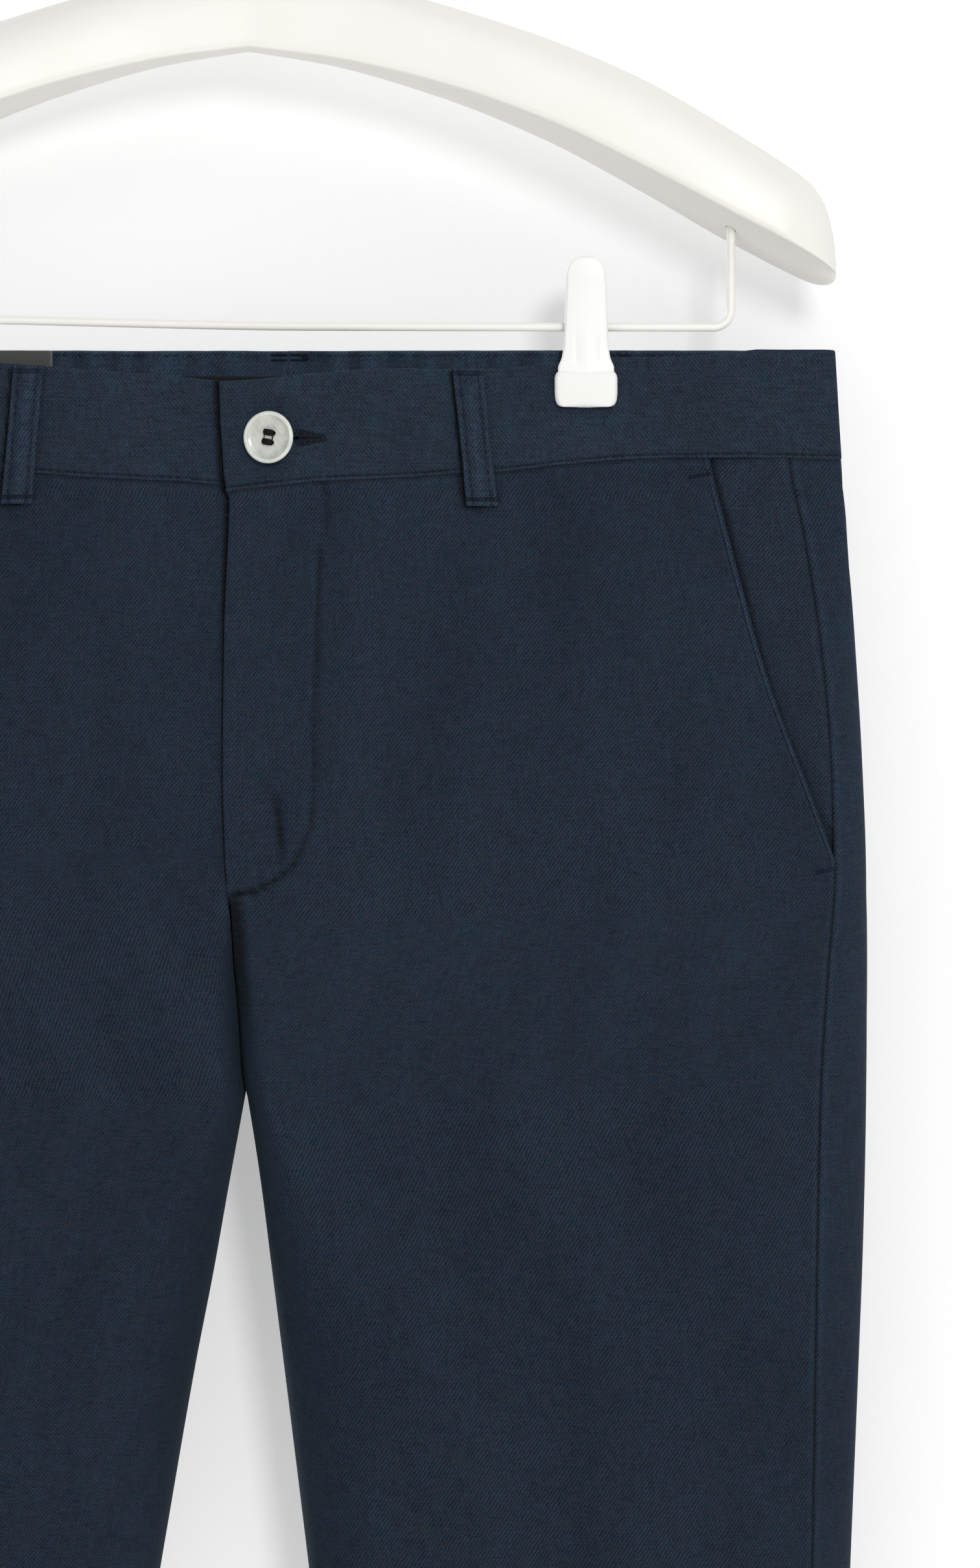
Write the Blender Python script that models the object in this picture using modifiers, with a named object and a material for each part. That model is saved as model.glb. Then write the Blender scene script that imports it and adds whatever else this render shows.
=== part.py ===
"""Navy linen bermuda shorts, closed at the front and held by the waistband on a clip hanger.

Metres, +Z up, the front faces -Y and the wearer's left is +X. The origin is the inner crown
of the hanger's hook, where a rail holds it. Tables are in millimetres. A "drop" is a distance
below the top edge of the back waistband, and an "across" is a distance from the middle of
the front, counted outwards on the side that a piece belongs to.
"""

import math

import bmesh
import bpy
import numpy as np

MM = 0.001
WAIST_Z = -210.0  # top edge of the back waistband, under the hook's inner crown
HEM_DROP = 511.0
CROTCH_DROP = 271.4
CLIP_ACROSS = 124.0

CLOTH = 1.6  # wall of the panels
BAND = 2.0  # wall of the waistband, which is folded double
BAND_PROUD = 0.6  # how far the waistband stands out from the panels below it
SEAM_GAP = 0.3
UNDER_BAND = 0.45  # the panels stop this far below the waistband
TOUCH = 0.3

# Half the depth of the waist: nipped at the clips, and bowed between and beyond them.
AT_CLIP = 2.7
CLIP_REACH = 13.0
WAIST_BOW = {"front": 8.5, "back": 3.0}
SIDE_ACROSS = 216.0
SIDE_BOW = 1.2

# The outline, and how deep the body is to the front and to the back of the hanger's plane.
BODY = {
    "drop": (0, 40, 70, 105, 150, 190, 230, 275, 325, 372, 440, 511),
    "silhouette": (215.5, 217.4, 219.8, 222.7, 225.5, 227.0, 227.4, 227.0, 226.0, 224.3, 221.5, 218.5),
    "side_seam": (197.5, 198.6, 204.2, 209.6, 213.6, 214.9, 212.0, 209.3, 208.2, 207.4, 206.3, 205.3),
    "front_depth": (11, 13, 17, 21, 24, 26, 27, 28, 29, 30, 31, 31),
    "back_depth": (8, 14, 20, 27, 32, 34, 34, 33, 33, 32, 31, 31),
    "side_roll": (5, 10, 28, 48, 64, 74, 75, 75, 75, 75, 72, 68),
}
# The middle of the front: the fly's overlapping edge, then the crotch seam.
FLY_EDGE = {
    "drop": (0, 13, 52, 55, 69, 99, 152, 183, 199, 210, 225, 237, 252, 264, 271.4),
    "x": (-10.2, -10, -7.6, -6.2, -6.6, -7.8, -8.2, -7.4, -6.6, -5.8, -5.2, -4.0, -2.7, -1.8, -0.6),
}
# Where the two halves of the back meet: it hangs a little round to the wearer's left.
BACK_SEAM = {"drop": (0, 60, 160, 271.4), "x": (14.7, 12, 6, -0.6)}
# The inner edge of each leg, below the crotch.
LEG_INNER = {
    "drop": (271.4, 290, 307, 338, 372, 440, 511),
    "left": (-0.6, 2.4, 4.9, 8.8, 13.1, 21.5, 30),
    "right": (0.6, 4.0, 7.1, 12.6, 19.2, 31, 43),
}
# How far the middle of the front and back still lies out at full depth, above the crotch.
RISE = {
    "drop": (0, 180, 199, 212, 228, 250, 271.4),
    "front": (1, 1, 1, 0.78, 0.5, 0.22, 0),
    "back": (1, 1, 0.93, 0.8, 0.56, 0.25, 0),
}
INNER_ROLL = {"drop": (0, 275, 295, 330, 372, 511), "radius": (9, 9, 14, 30, 42, 50)}

# The waistband's edges, against the distance from the middle.
BAND_TOP_LEFT = {
    "across": (-10, 2, 26, 56, 86, 99, 115, 133, 162, 177, 186),
    "drop": (12.4, 11.7, 9.3, 7.4, 7.2, 6.2, 4.5, 3.1, 2.3, 1.0, 0),
}
BAND_TOP_RIGHT = {
    "across": (-32, -10, 10, 31, 56, 74, 91, 115, 133, 162, 177, 186),
    "drop": (13.5, 13, 11.9, 9.8, 7.9, 6.2, 5.0, 4.2, 3.1, 2.3, 1.0, 0),
}
BAND_SEAM = {
    "across": (-10, 0, 15, 26, 40, 60, 78, 92, 116, 149, 180, 217),
    "drop": (52.8, 51.6, 50.0, 48.9, 48.3, 47.2, 45.8, 45.2, 42.4, 40.2, 39.9, 40.5),
}

BAND_STOPS = (0, 12, 24, 38, 54, 70, 84, 98, 110.8, 124, 137.2, 155, 175, 195)

# The slanted pocket edge, from the waistband's seam to the side seam.
POCKET_EDGE = {
    "drop": (38, 61, 89, 124, 155, 186.5),
    "across": (168.7, 174.3, 181.4, 191.2, 203.0, 214.9),
}
POCKET_LEVELS = (61, 75, 89, 106, 124, 155, 175)
FACING_BEHIND = 2.2
FACING_UNDER = 13.0
POCKET_BAG = {"drop": (60, 95, 150, 200, 232, 246), "inner": (128, 124, 120, 122, 134, 158)}

FLY_LIFT = 3.0  # what the overlap stands out over the right front
FLY_LIFT_END = (35.0, 66.0)
FLY_LIFT_DROP = (192.0, 199.0)
SHIELD_ACROSS = 34.0
SHIELD_LEVELS = (56, 75, 89, 106, 124, 155, 183)

BUTTON_X = 8.3
BUTTON_DROP = 33.1
BUTTON_DIAMETER = 19.1
BUTTON_YAW = math.radians(17)
HOLE_SPACING = (3.3, 3.5)
HOLE_RADIUS = 0.8

LOOP_WIDTH = 11.8
LOOP_WALL = 1.2

BAR_RADIUS = 1.6
BAR_HALF = 177.3
BAR_BEND = 6.5
BAR_DROP = {"x": (-177.3, -91, 28, 177.3), "drop": (-13, -11, -8.6, -8.3)}

COLOURS = {
    "navy_twill": ((0.016, 0.026, 0.042), 0.9, 0.0),
    "dark_twill": ((0.009, 0.009, 0.008), 0.9, 0.0),
    "label": ((0.062, 0.062, 0.058), 0.8, 0.0),
    "mother_of_pearl": ((0.62, 0.62, 0.56), 0.25, 0.0),
    "thread": ((0.008, 0.008, 0.012), 0.8, 0.0),
    "zip": ((0.013, 0.02, 0.033), 0.6, 0.0),
    "hanger_plastic": ((0.86, 0.85, 0.8), 0.45, 0.0),
    "clip_plastic": ((0.88, 0.87, 0.85), 0.4, 0.0),
    "clip_pad": ((0.85, 0.85, 0.82), 0.75, 0.0),
    "steel": ((0.6, 0.6, 0.6), 0.3, 1.0),
    "coated_wire": ((0.85, 0.84, 0.8), 0.4, 0.0),
}


def start():
    for item in list(bpy.context.scene.objects):
        bpy.data.objects.remove(item)
    collection = bpy.data.collections.new("bermuda_shorts_on_clip_hanger")
    bpy.context.scene.collection.children.link(collection)
    cutters = bpy.data.collections.new("cutters")
    bpy.context.scene.collection.children.link(cutters)
    return collection, cutters


PARTS, CUTTERS = start()


def material(name):
    found = bpy.data.materials.get(name)
    if found:
        return found
    colour, roughness, metallic = COLOURS[name]
    made = bpy.data.materials.new(name)
    made.use_nodes = True
    shader = made.node_tree.nodes["Principled BSDF"]
    shader.inputs["Base Color"].default_value = (*colour, 1.0)
    shader.inputs["Roughness"].default_value = roughness
    shader.inputs["Metallic"].default_value = metallic
    made.diffuse_color = (*colour, 1.0)
    return made


def add_object(name, data, finish):
    made = bpy.data.objects.new(name, data)
    data.materials.append(material(finish))
    PARTS.objects.link(made)
    return made


def add_bmesh(name, bm, finish, sharp=0.6):
    mesh = bpy.data.meshes.new(name)
    bmesh.ops.recalc_face_normals(bm, faces=bm.faces)
    bm.to_mesh(mesh)
    bm.free()
    mesh.shade_smooth()
    mesh.set_sharp_from_angle(angle=sharp)
    return add_object(name, mesh, finish)


def at(table, column, value, key="drop"):
    return float(np.interp(value, table[key], table[column]))


def ease(value, start_at, end_at):
    """0 before start_at, 1 after end_at, and smooth between them."""
    share = min(1.0, max(0.0, (value - start_at) / (end_at - start_at)))
    return share * share * (3 - 2 * share)


# ---------------------------------------------------------------- the garment's outer surface


def pinch_depth(across, face):
    """Half the depth of the body at the waist, nipped at the clips and bowed between them."""
    if abs(across) < CLIP_ACROSS - CLIP_REACH:
        between = 1 - (across / (CLIP_ACROSS - CLIP_REACH)) ** 2
        return AT_CLIP + WAIST_BOW[face] * between ** 1.6
    past = (abs(across) - CLIP_ACROSS - CLIP_REACH) / (SIDE_ACROSS - CLIP_ACROSS - CLIP_REACH)
    return AT_CLIP + SIDE_BOW * math.sin(math.pi * min(1.0, max(0.0, past))) ** 2


def depth(across, drop, face):
    waist_left = 1 - ease(drop, 14, 150)
    hip = at(BODY, face + "_depth", drop)
    return waist_left * pinch_depth(across, face) + (1 - waist_left) * hip


def inner_edge(side, drop, face):
    """Where a half of the garment starts, across from the middle: its rise, then its inseam."""
    if drop >= CROTCH_DROP:
        return at(LEG_INNER, "left" if side > 0 else "right", drop)
    if face == "back":
        return side * at(BACK_SEAM, "x", drop) + SEAM_GAP / 2
    fly = at(FLY_EDGE, "x", drop)
    tucked = 4.0 * (1 - ease(drop, 184, 190))
    return side * fly + SEAM_GAP / 2 - (tucked if side < 0 else 0)


def section_point(side, drop, turn, inset):
    """A point of the half body's level section. Turn 0 is the front's inner edge, 3 the
    silhouette and 6 the back's inner edge: a roll, a flat span and a roll on each face."""
    face = "front" if turn <= 3 else "back"
    step = turn if turn <= 3 else 6 - turn
    inner = inner_edge(side, drop, face)
    rise = at(RISE, face, drop)
    roll_in = at(INNER_ROLL, "radius", drop)
    roll_out = at(BODY, "side_roll", drop)
    outer = at(BODY, "silhouette", drop)
    inset_in = inset * (1 - rise)
    if step < 1:
        angle = step * math.pi / 2
        across = inner + inset_in + (roll_in - inset_in) * (1 - math.cos(angle))
        shape = rise + (1 - rise) * math.sin(angle)
    elif step < 2:
        across = inner + roll_in + (step - 1) * (outer - roll_out - inner - roll_in)
        shape = 1.0
    else:
        angle = (3 - step) * math.pi / 2
        across = outer - inset - (roll_out - inset) * (1 - math.cos(angle))
        shape = math.sin(angle)
    out = (depth(across, drop, face) - inset) * shape
    sign = -1 if face == "front" else 1
    return across, sign * (out + SEAM_GAP / 2 * (1 - shape))


def turn_at(side, drop, across, face="front"):
    """The turn of section_point that lies this far across."""
    inner = inner_edge(side, drop, face)
    roll_in = at(INNER_ROLL, "radius", drop)
    roll_out = at(BODY, "side_roll", drop)
    outer = at(BODY, "silhouette", drop)
    if across <= inner + roll_in:
        share = min(1.0, max(0.0, (across - inner) / roll_in))
        step = math.acos(1 - share) / (math.pi / 2)
    elif across < outer - roll_out:
        step = 1 + (across - inner - roll_in) / (outer - roll_out - inner - roll_in)
    else:
        share = min(1.0, max(0.0, (outer - across) / roll_out))
        step = 3 - math.acos(1 - share) / (math.pi / 2)
    return step if face == "front" else 6 - step


def surface_y(side, across, drop, face, inset=0.0):
    return section_point(side, drop, turn_at(side, drop, across, face), inset)[1]


def place(side, across, y, drop):
    return (side * across * MM, y * MM, (WAIST_Z - drop) * MM)


def overlap_lift(side, across, drop):
    """The wearer's left front stands out where it laps over the right."""
    if side < 0:
        return 0.0
    near = 1 - ease(across, *FLY_LIFT_END)
    return FLY_LIFT * near * (1 - ease(drop, *FLY_LIFT_DROP))


# ---------------------------------------------------------------- cloth walls


def wall(name, outer, inner, finish):
    """A closed wall between two grids of points with the same rows and columns."""
    bm = bmesh.new()
    rows, columns = len(outer), len(outer[0])
    skins = [[[bm.verts.new(point) for point in row] for row in grid] for grid in (outer, inner)]
    for skin, flip in zip(skins, (False, True)):
        for i in range(rows - 1):
            for j in range(columns - 1):
                corners = [skin[i][j], skin[i][j + 1], skin[i + 1][j + 1], skin[i + 1][j]]
                bm.faces.new(corners[::-1] if flip else corners)
    rim = [(0, j) for j in range(columns)] + [(i, columns - 1) for i in range(1, rows)]
    rim += [(rows - 1, j) for j in range(columns - 2, -1, -1)] + [(i, 0) for i in range(rows - 2, 0, -1)]
    for (a, b), (c, d) in zip(rim, rim[1:] + rim[:1]):
        bm.faces.new([skins[0][c][d], skins[0][a][b], skins[1][a][b], skins[1][c][d]])
    return add_bmesh(name, bm, finish)


def panel(name, side, levels, edges, columns, proud, thick, finish, top=None):
    """A panel of the body between two edges, which are functions of the drop that return
    turns. Its first row follows the waistband's seam where top is given."""
    grids = ([], [])
    for level in levels:
        start_turn, end_turn = edges(level)
        rows = ([], [])
        for j in range(columns + 1):
            turn = start_turn + (end_turn - start_turn) * j / columns
            across, _ = section_point(side, level, turn, 0)
            drop = level if top is None or level != levels[0] else top(across, turn)
            for row, inset in zip(rows, (-proud, thick - proud)):
                x, y = section_point(side, drop, turn, inset)
                lift = overlap_lift(side, x, drop) if turn <= 3 else 0.0
                row.append(place(side, x, y - lift, drop))
        for grid, row in zip(grids, rows):
            grid.append(row)
    return wall(name, grids[0], grids[1], finish)


def band_seam(across, turn):
    if turn > 3:
        return at(BAND_SEAM, "drop", 217, "across")
    return at(BAND_SEAM, "drop", across, "across")


def under_seam(across, turn):
    return band_seam(across, turn) + UNDER_BAND


FRONT_LEVELS = (46, 61, 75, 89, 106, 124, 155, 183.5, 189.5, 199, 212, 228, 250, 271.4, 290, 307,
                338, 372, 440, HEM_DROP)
BACK_LEVELS = (42, 61, 75, 89, 106, 124, 155, 175, 190, 212, 228, 250, 271.4, 290, 307, 338, 372, 440,
               HEM_DROP)


def front_outer_edge(side, drop):
    """The slanted pocket edge, then the side seam."""
    across = at(BODY, "side_seam", drop)
    if drop < POCKET_EDGE["drop"][-1]:
        across = min(across, at(POCKET_EDGE, "across", drop))
    return turn_at(side, drop, across - SEAM_GAP / 2)


def build_fronts_and_backs():
    for side, word in ((1, "left"), (-1, "right")):
        panel(
            "front_" + word, side, FRONT_LEVELS,
            lambda drop: (0.0, front_outer_edge(side, drop)),
            12, 0.0, CLOTH, "navy_twill", under_seam,
        )
        panel(
            "back_" + word, side, BACK_LEVELS,
            lambda drop: (turn_at(side, drop, at(BODY, "side_seam", drop) + SEAM_GAP / 2), 6.0),
            15, 0.0, CLOTH, "navy_twill", under_seam,
        )


def band_turns(side):
    """Round the waistband, with a stop at each end of the flat that a clip holds."""
    turns = [0.0]
    for across in BAND_STOPS:
        if across > inner_edge(side, 22, "front") + 5:
            turns.append(turn_at(side, 22, across))
    turns += [2.3, 2.65, 3.0, 3.35, 3.7]
    for across in BAND_STOPS[::-1]:
        if across > inner_edge(side, 22, "back") + 5:
            turns.append(turn_at(side, 22, across, "back"))
    return turns + [6.0]


def build_waistband():
    for side, word in ((1, "left"), (-1, "right")):
        table = BAND_TOP_LEFT if side > 0 else BAND_TOP_RIGHT
        grids = ([], [])
        for share in (0.0, 0.33, 0.67, 1.0):
            rows = ([], [])
            for turn in band_turns(side):
                across, _ = section_point(side, 22, turn, 0)
                top = at(table, "drop", across, "across") if turn <= 3 else 0.0
                drop = top + share * (band_seam(across, turn) - top)
                for row, inset in zip(rows, (-BAND_PROUD, BAND - BAND_PROUD)):
                    x, y = section_point(side, drop, turn, inset)
                    lift = overlap_lift(side, x, drop) if turn <= 3 else 0.0
                    row.append(place(side, x, y - lift, drop))
            if side < 0:
                for row, inset in zip(rows, (-BAND_PROUD, BAND - BAND_PROUD)):
                    row[:0] = underlap_row(table, share, inset)
            for grid, row in zip(grids, rows):
                grid.append(row)
        wall("waistband_" + word, grids[0], grids[1], "navy_twill")


def underlap_row(table, share, inset):
    """The end of the right waistband, which runs on under the left one to hold the button."""
    row = []
    for across in (-32, -18, -5):
        top = at(table, "drop", across, "across")
        drop = top + share * (band_seam(across, 0) - top)
        row.append(place(-1, across, -(depth(across, drop, "front") - inset), drop))
    return row


def build_fly_shield():
    """The shield carries on the right front's surface under the closed fly."""
    grids = ([], [])
    for drop in SHIELD_LEVELS:
        rows = ([], [])
        start_x = -inner_edge(-1, drop, "front") + SEAM_GAP
        for j in range(5):
            x = start_x + (SHIELD_ACROSS - start_x) * j / 4
            for row, inset in zip(rows, (0.0, CLOTH)):
                row.append(place(1, x, -(depth(x, drop, "front") - inset), drop))
        for grid, row in zip(grids, rows):
            grid.append(row)
    wall("fly_shield", grids[0], grids[1], "navy_twill")


def build_zip():
    """The closed zip lies between the shield and the fly's overlap."""
    grids = ([], [])
    tape = 0.7
    for drop in SHIELD_LEVELS[:-1] + (178,):
        rows = ([], [])
        for j in range(5):
            x = -1.0 + 26.0 * j / 4
            for row, inset in zip(rows, (-TOUCH - tape, -TOUCH)):
                row.append(place(1, x, -(depth(x, drop, "front") - inset), drop))
        for grid, row in zip(grids, rows):
            grid.append(row)
    wall("fly_zip", grids[0], grids[1], "zip")


def build_pockets():
    for side, word in ((1, "left"), (-1, "right")):
        outer, inner = [], []
        for drop in (band_seam(190, 0) + SEAM_GAP, *POCKET_LEVELS):
            edge = at(POCKET_EDGE, "across", drop)
            seam = at(BODY, "side_seam", drop) - SEAM_GAP
            rows = ([], [])
            for share in (0.0, 0.2, 0.4, 0.6, 0.8, 1.0):
                across = edge - FACING_UNDER + share * (seam - edge + FACING_UNDER)
                behind = FACING_BEHIND - 1.2 * ease(across, edge + 2, max(seam, edge + 4))
                turn = turn_at(side, drop, across)
                for row, inset in zip(rows, (behind, behind + 1.2)):
                    x, y = section_point(side, drop, turn, inset)
                    row.append(place(side, x, y, drop))
            outer.append(rows[0])
            inner.append(rows[1])
        wall("pocket_facing_" + word, outer, inner, "navy_twill")

        outer, inner = [], []
        for drop in POCKET_BAG["drop"]:
            start_x = at(POCKET_BAG, "inner", drop)
            end_x = min(at(BODY, "side_seam", drop) - 5, 207)
            rows = ([], [])
            for j in range(5):
                turn = turn_at(side, drop, start_x + (end_x - start_x) * j / 4)
                for row, inset in zip(rows, (3.8, 4.8)):
                    x, y = section_point(side, drop, turn, inset)
                    row.append(place(side, x, y, drop))
            outer.append(rows[0])
            inner.append(rows[1])
        wall("pocket_bag_" + word, outer, inner, "navy_twill")


def build_belt_loops():
    """Each row: name, side, face, across at the top and at the bottom, drop of both ends."""
    loops = (
        ("belt_loop_front_left", 1, "front", 80.7, 86.0, 8.6, 57.6),
        ("belt_loop_front_right", -1, "front", 80.2, 84.6, 7.4, 56.8),
        ("belt_loop_side_left", 1, "back", 207.5, 210.5, 1.5, 59.0),
        ("belt_loop_side_right", -1, "back", 207.5, 210.5, 1.5, 59.0),
        ("belt_loop_centre_back", 1, "back", 14.7, 14.7, 1.0, 58.0),
    )
    for name, side, face, top_across, low_across, top_drop, low_drop in loops:
        outer, inner = [], []
        steps = 9
        sign = -1 if face == "front" else 1
        for i in range(steps + 1):
            share = i / steps
            drop = top_drop + share * (low_drop - top_drop)
            middle = top_across + share * (low_across - top_across)
            proud = BAND_PROUD * (1 - ease(drop, 52, 56))
            stand = 0.5 + 0.9 * math.sin(math.pi * share)
            edges = (middle - LOOP_WIDTH / 2, middle + LOOP_WIDTH / 2)
            across_all = [edges[0] + LOOP_WIDTH * k / 4 for k in range(5)]
            outs = [sign * surface_y(side, across, drop, face, -proud) for across in across_all]
            ends = (outs[0], max(outs[-1], outs[0] - 3.0))
            bulge = max(out - ends[0] - (ends[1] - ends[0]) * k / 4 for k, out in enumerate(outs))
            flat = [sign * (end + bulge) for end in ends]
            outer.append([place(side, x, y + sign * (stand + LOOP_WALL), drop) for x, y in zip(edges, flat)])
            inner.append([place(side, x, y + sign * stand, drop) for x, y in zip(edges, flat)])
        wall(name, outer, inner, "navy_twill")


def build_lining_and_label():
    outer, inner = [], []
    for drop in (10.2, 25, 39.5):
        rows = ([], [])
        for j in range(13):
            x = -108 + 216 * j / 12
            base = depth(x, drop, "back") - (BAND - BAND_PROUD) - TOUCH
            for row, back in zip(rows, (0.0, 1.0)):
                row.append(place(1, x, base - back, drop))
        outer.append(rows[0])
        inner.append(rows[1])
    wall("waistband_lining", outer, inner, "dark_twill")
    outer, inner = [], []
    for drop in (0.6, 9.6):
        rows = ([], [])
        for j in range(5):
            x = -110 + 38 * j / 4
            base = depth(x, drop, "back") - (BAND - BAND_PROUD) - TOUCH
            for row, back in zip(rows, (0.0, 0.8)):
                row.append(place(1, x, base - back, drop))
        outer.append(rows[0])
        inner.append(rows[1])
    wall("label", outer, inner, "label")


# ---------------------------------------------------------------- button


def cylinder(radius, length, location, rotation=(0, 0, 0), sides=16):
    bpy.ops.mesh.primitive_cylinder_add(
        vertices=sides, radius=radius * MM, depth=length * MM,
        location=[value * MM for value in location], rotation=rotation,
    )
    return bpy.context.object


def block(size, location):
    bpy.ops.mesh.primitive_cube_add(size=1, location=[value * MM for value in location])
    made = bpy.context.object
    made.scale = [value * MM for value in size]
    return made


def move_to(item, collection):
    for held in list(item.users_collection):
        held.objects.unlink(item)
    collection.objects.link(item)


def hide(cutter):
    move_to(cutter, CUTTERS)
    cutter.hide_render = True
    cutter.display_type = "WIRE"


def boolean(item, other, operation):
    modifier = item.modifiers.new(operation.lower(), "BOOLEAN")
    modifier.operation = operation
    modifier.object = other
    hide(other)


def build_button():
    """A turned button that leans on its thread, its outer side away from the cloth."""
    radius = BUTTON_DIAMETER / 2
    cloth_y = -(depth(BUTTON_X, BUTTON_DROP, "front") + BAND_PROUD + FLY_LIFT)
    middle_y = cloth_y - radius * math.sin(BUTTON_YAW) - 1.9
    frame = bpy.data.objects.new("button_frame", None)
    frame.location = (BUTTON_X * MM, middle_y * MM, (WAIST_Z - BUTTON_DROP) * MM)
    frame.rotation_euler = (0, 0, -BUTTON_YAW)
    PARTS.objects.link(frame)

    # From the middle of the back, out round the rim, to the middle of the sunk face.
    profile = ((0, 1.2), (6.6, 1.2), (9.0, 0.3), (radius, -0.4), (9.3, -1.1), (8.6, -1.4),
               (7.8, -1.2), (7.0, -0.5), (5.6, -0.2), (0, -0.2))
    bm = bmesh.new()
    verts = [bm.verts.new((r * MM, y * MM, 0)) for r, y in profile]
    for a, b in zip(verts, verts[1:]):
        bm.edges.new((a, b))
    bmesh.ops.spin(bm, geom=bm.verts[:] + bm.edges[:], cent=(0, 0, 0), axis=(0, 1, 0),
                   angle=2 * math.pi, steps=32, use_merge=True)
    bmesh.ops.remove_doubles(bm, verts=bm.verts, dist=1e-6)
    button = add_bmesh("button", bm, "mother_of_pearl")
    button.parent = frame
    bpy.context.view_layer.update()

    turned = math.radians(10)
    holes = []
    for a in (-1, 1):
        for b in (-1, 1):
            x, z = a * HOLE_SPACING[0] / 2, b * HOLE_SPACING[1] / 2
            holes.append((x * math.cos(turned) + z * math.sin(turned),
                          z * math.cos(turned) - x * math.sin(turned)))
    for x, z in holes:
        cutter = cylinder(HOLE_RADIUS, 8, (x, 0, z), (math.pi / 2, 0, 0), 12)
        cutter.parent = frame
        boolean(button, cutter, "DIFFERENCE")

    # Four legs through the holes, two bars over the face, and the shank down to the band.
    thread_radius = 0.45
    back_y, face_y = 2.0, -0.95
    shank_end = -(depth(BUTTON_X, BUTTON_DROP, "front") + BAND_PROUD) - TOUCH
    legs = []
    for x, z in holes:
        leg = cylinder(thread_radius, back_y - face_y, (x, (back_y + face_y) / 2, z), (math.pi / 2, 0, 0), 8)
        legs.append(leg)
    for low, high in ((0, 2), (1, 3)):
        (x0, z0), (x1, z1) = holes[low], holes[high]
        length = math.hypot(x1 - x0, z1 - z0) + 2 * thread_radius
        bar = cylinder(thread_radius * 1.25, length, ((x0 + x1) / 2, face_y, (z0 + z1) / 2),
                       (0, math.pi / 2 + math.atan2(z0 - z1, x1 - x0), 0), 8)
        legs.append(bar)
    disc = cylinder(3.2, 0.6, (0, back_y, 0), (math.pi / 2, 0, 0), 16)
    for leg in legs:
        leg.parent = frame
        boolean(disc, leg, "UNION")
    disc.name = "button_thread"
    disc.data.materials.append(material("thread"))
    move_to(disc, PARTS)
    disc.parent = frame
    reach = shank_end - middle_y
    shank = cylinder(0.8, reach - back_y, (0, (back_y + reach) / 2, 0), (math.pi / 2, 0, 0), 10)
    shank.parent = frame
    boolean(disc, shank, "UNION")

    # The buttonhole, spread by the shank, in the left waistband.
    bm = bmesh.new()
    outline = ((3.0, 0), (5.5, 2.4), (17.0, 1.6), (28.5, 0.25), (28.5, -0.25), (17.0, -1.6), (5.5, -2.4))
    face = bm.faces.new([bm.verts.new((x * MM, 0, z * MM)) for x, z in outline])
    moved = bmesh.ops.extrude_face_region(bm, geom=[face])["geom"]
    bmesh.ops.translate(bm, verts=[v for v in moved if isinstance(v, bmesh.types.BMVert)], vec=(0, 6 * MM, 0))
    slot = add_bmesh("buttonhole_cutter", bm, "thread")
    slot.location = (0, (cloth_y - 2) * MM, (WAIST_Z - BUTTON_DROP) * MM)
    boolean(bpy.data.objects["waistband_left"], slot, "DIFFERENCE")


# ---------------------------------------------------------------- hanger

# The arm's stations: the front lower edge, the ridge, how far it reaches to front and back, and
# how much lower its back edge is. Past ARM_STRAIGHT it rounds off to its tip.
ARM = {
    "x": (0, 30, 70, 110, 145, 175.6, 195.4, 216),
    "low": (110, 106, 96.5, 82, 65, 48.8, 38.6, 28.3),
    "top": (146, 138, 127, 114, 99, 81.5, 69, 55),
    "front": (8, 9, 12, 16, 19, 21, 21, 20),
    "back": (8, 9, 12, 17, 21, 24, 24, 22),
    "heel": (0, 1, 3, 4.5, 6, 7.3, 7.6, 11),
}
ARM_STRAIGHT = 192.0
ARM_END = 216.0
ARM_STATIONS = (0, 30, 70, 110, 145, 175.6, 192, 201, 207.5, 212, 214.8)


def arm_ring(x):
    """One closed section of the hanger's arm."""
    low, top, front, back, heel = (at(ARM, key, x, "x") for key in ("low", "top", "front", "back", "heel"))
    past = max(x - ARM_STRAIGHT, 0) / (ARM_END - ARM_STRAIGHT)
    slim, tall = math.sqrt(1 - past**2), math.sqrt(1 - past**6)
    middle = (low + top) / 2
    points = (
        (-front * 0.94, low + 1.2), (-front, low + 4.5), (-front * 0.92, middle + 2),
        (-front * 0.6, top - 4), (-front * 0.15, top), (back * 0.3, top - 0.5),
        (back * 0.75, top - 6), (back, middle - heel * 0.4), (back * 0.97, low - heel + 5),
        (back * 0.82, low - heel + 0.6), (back * 0.2, low - heel * 0.65), (-front * 0.6, low + 0.2),
    )
    heart = low - 1
    return [(x, y * slim, heart + (z - heart) * (tall if z > heart else slim)) for y, z in points]


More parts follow.
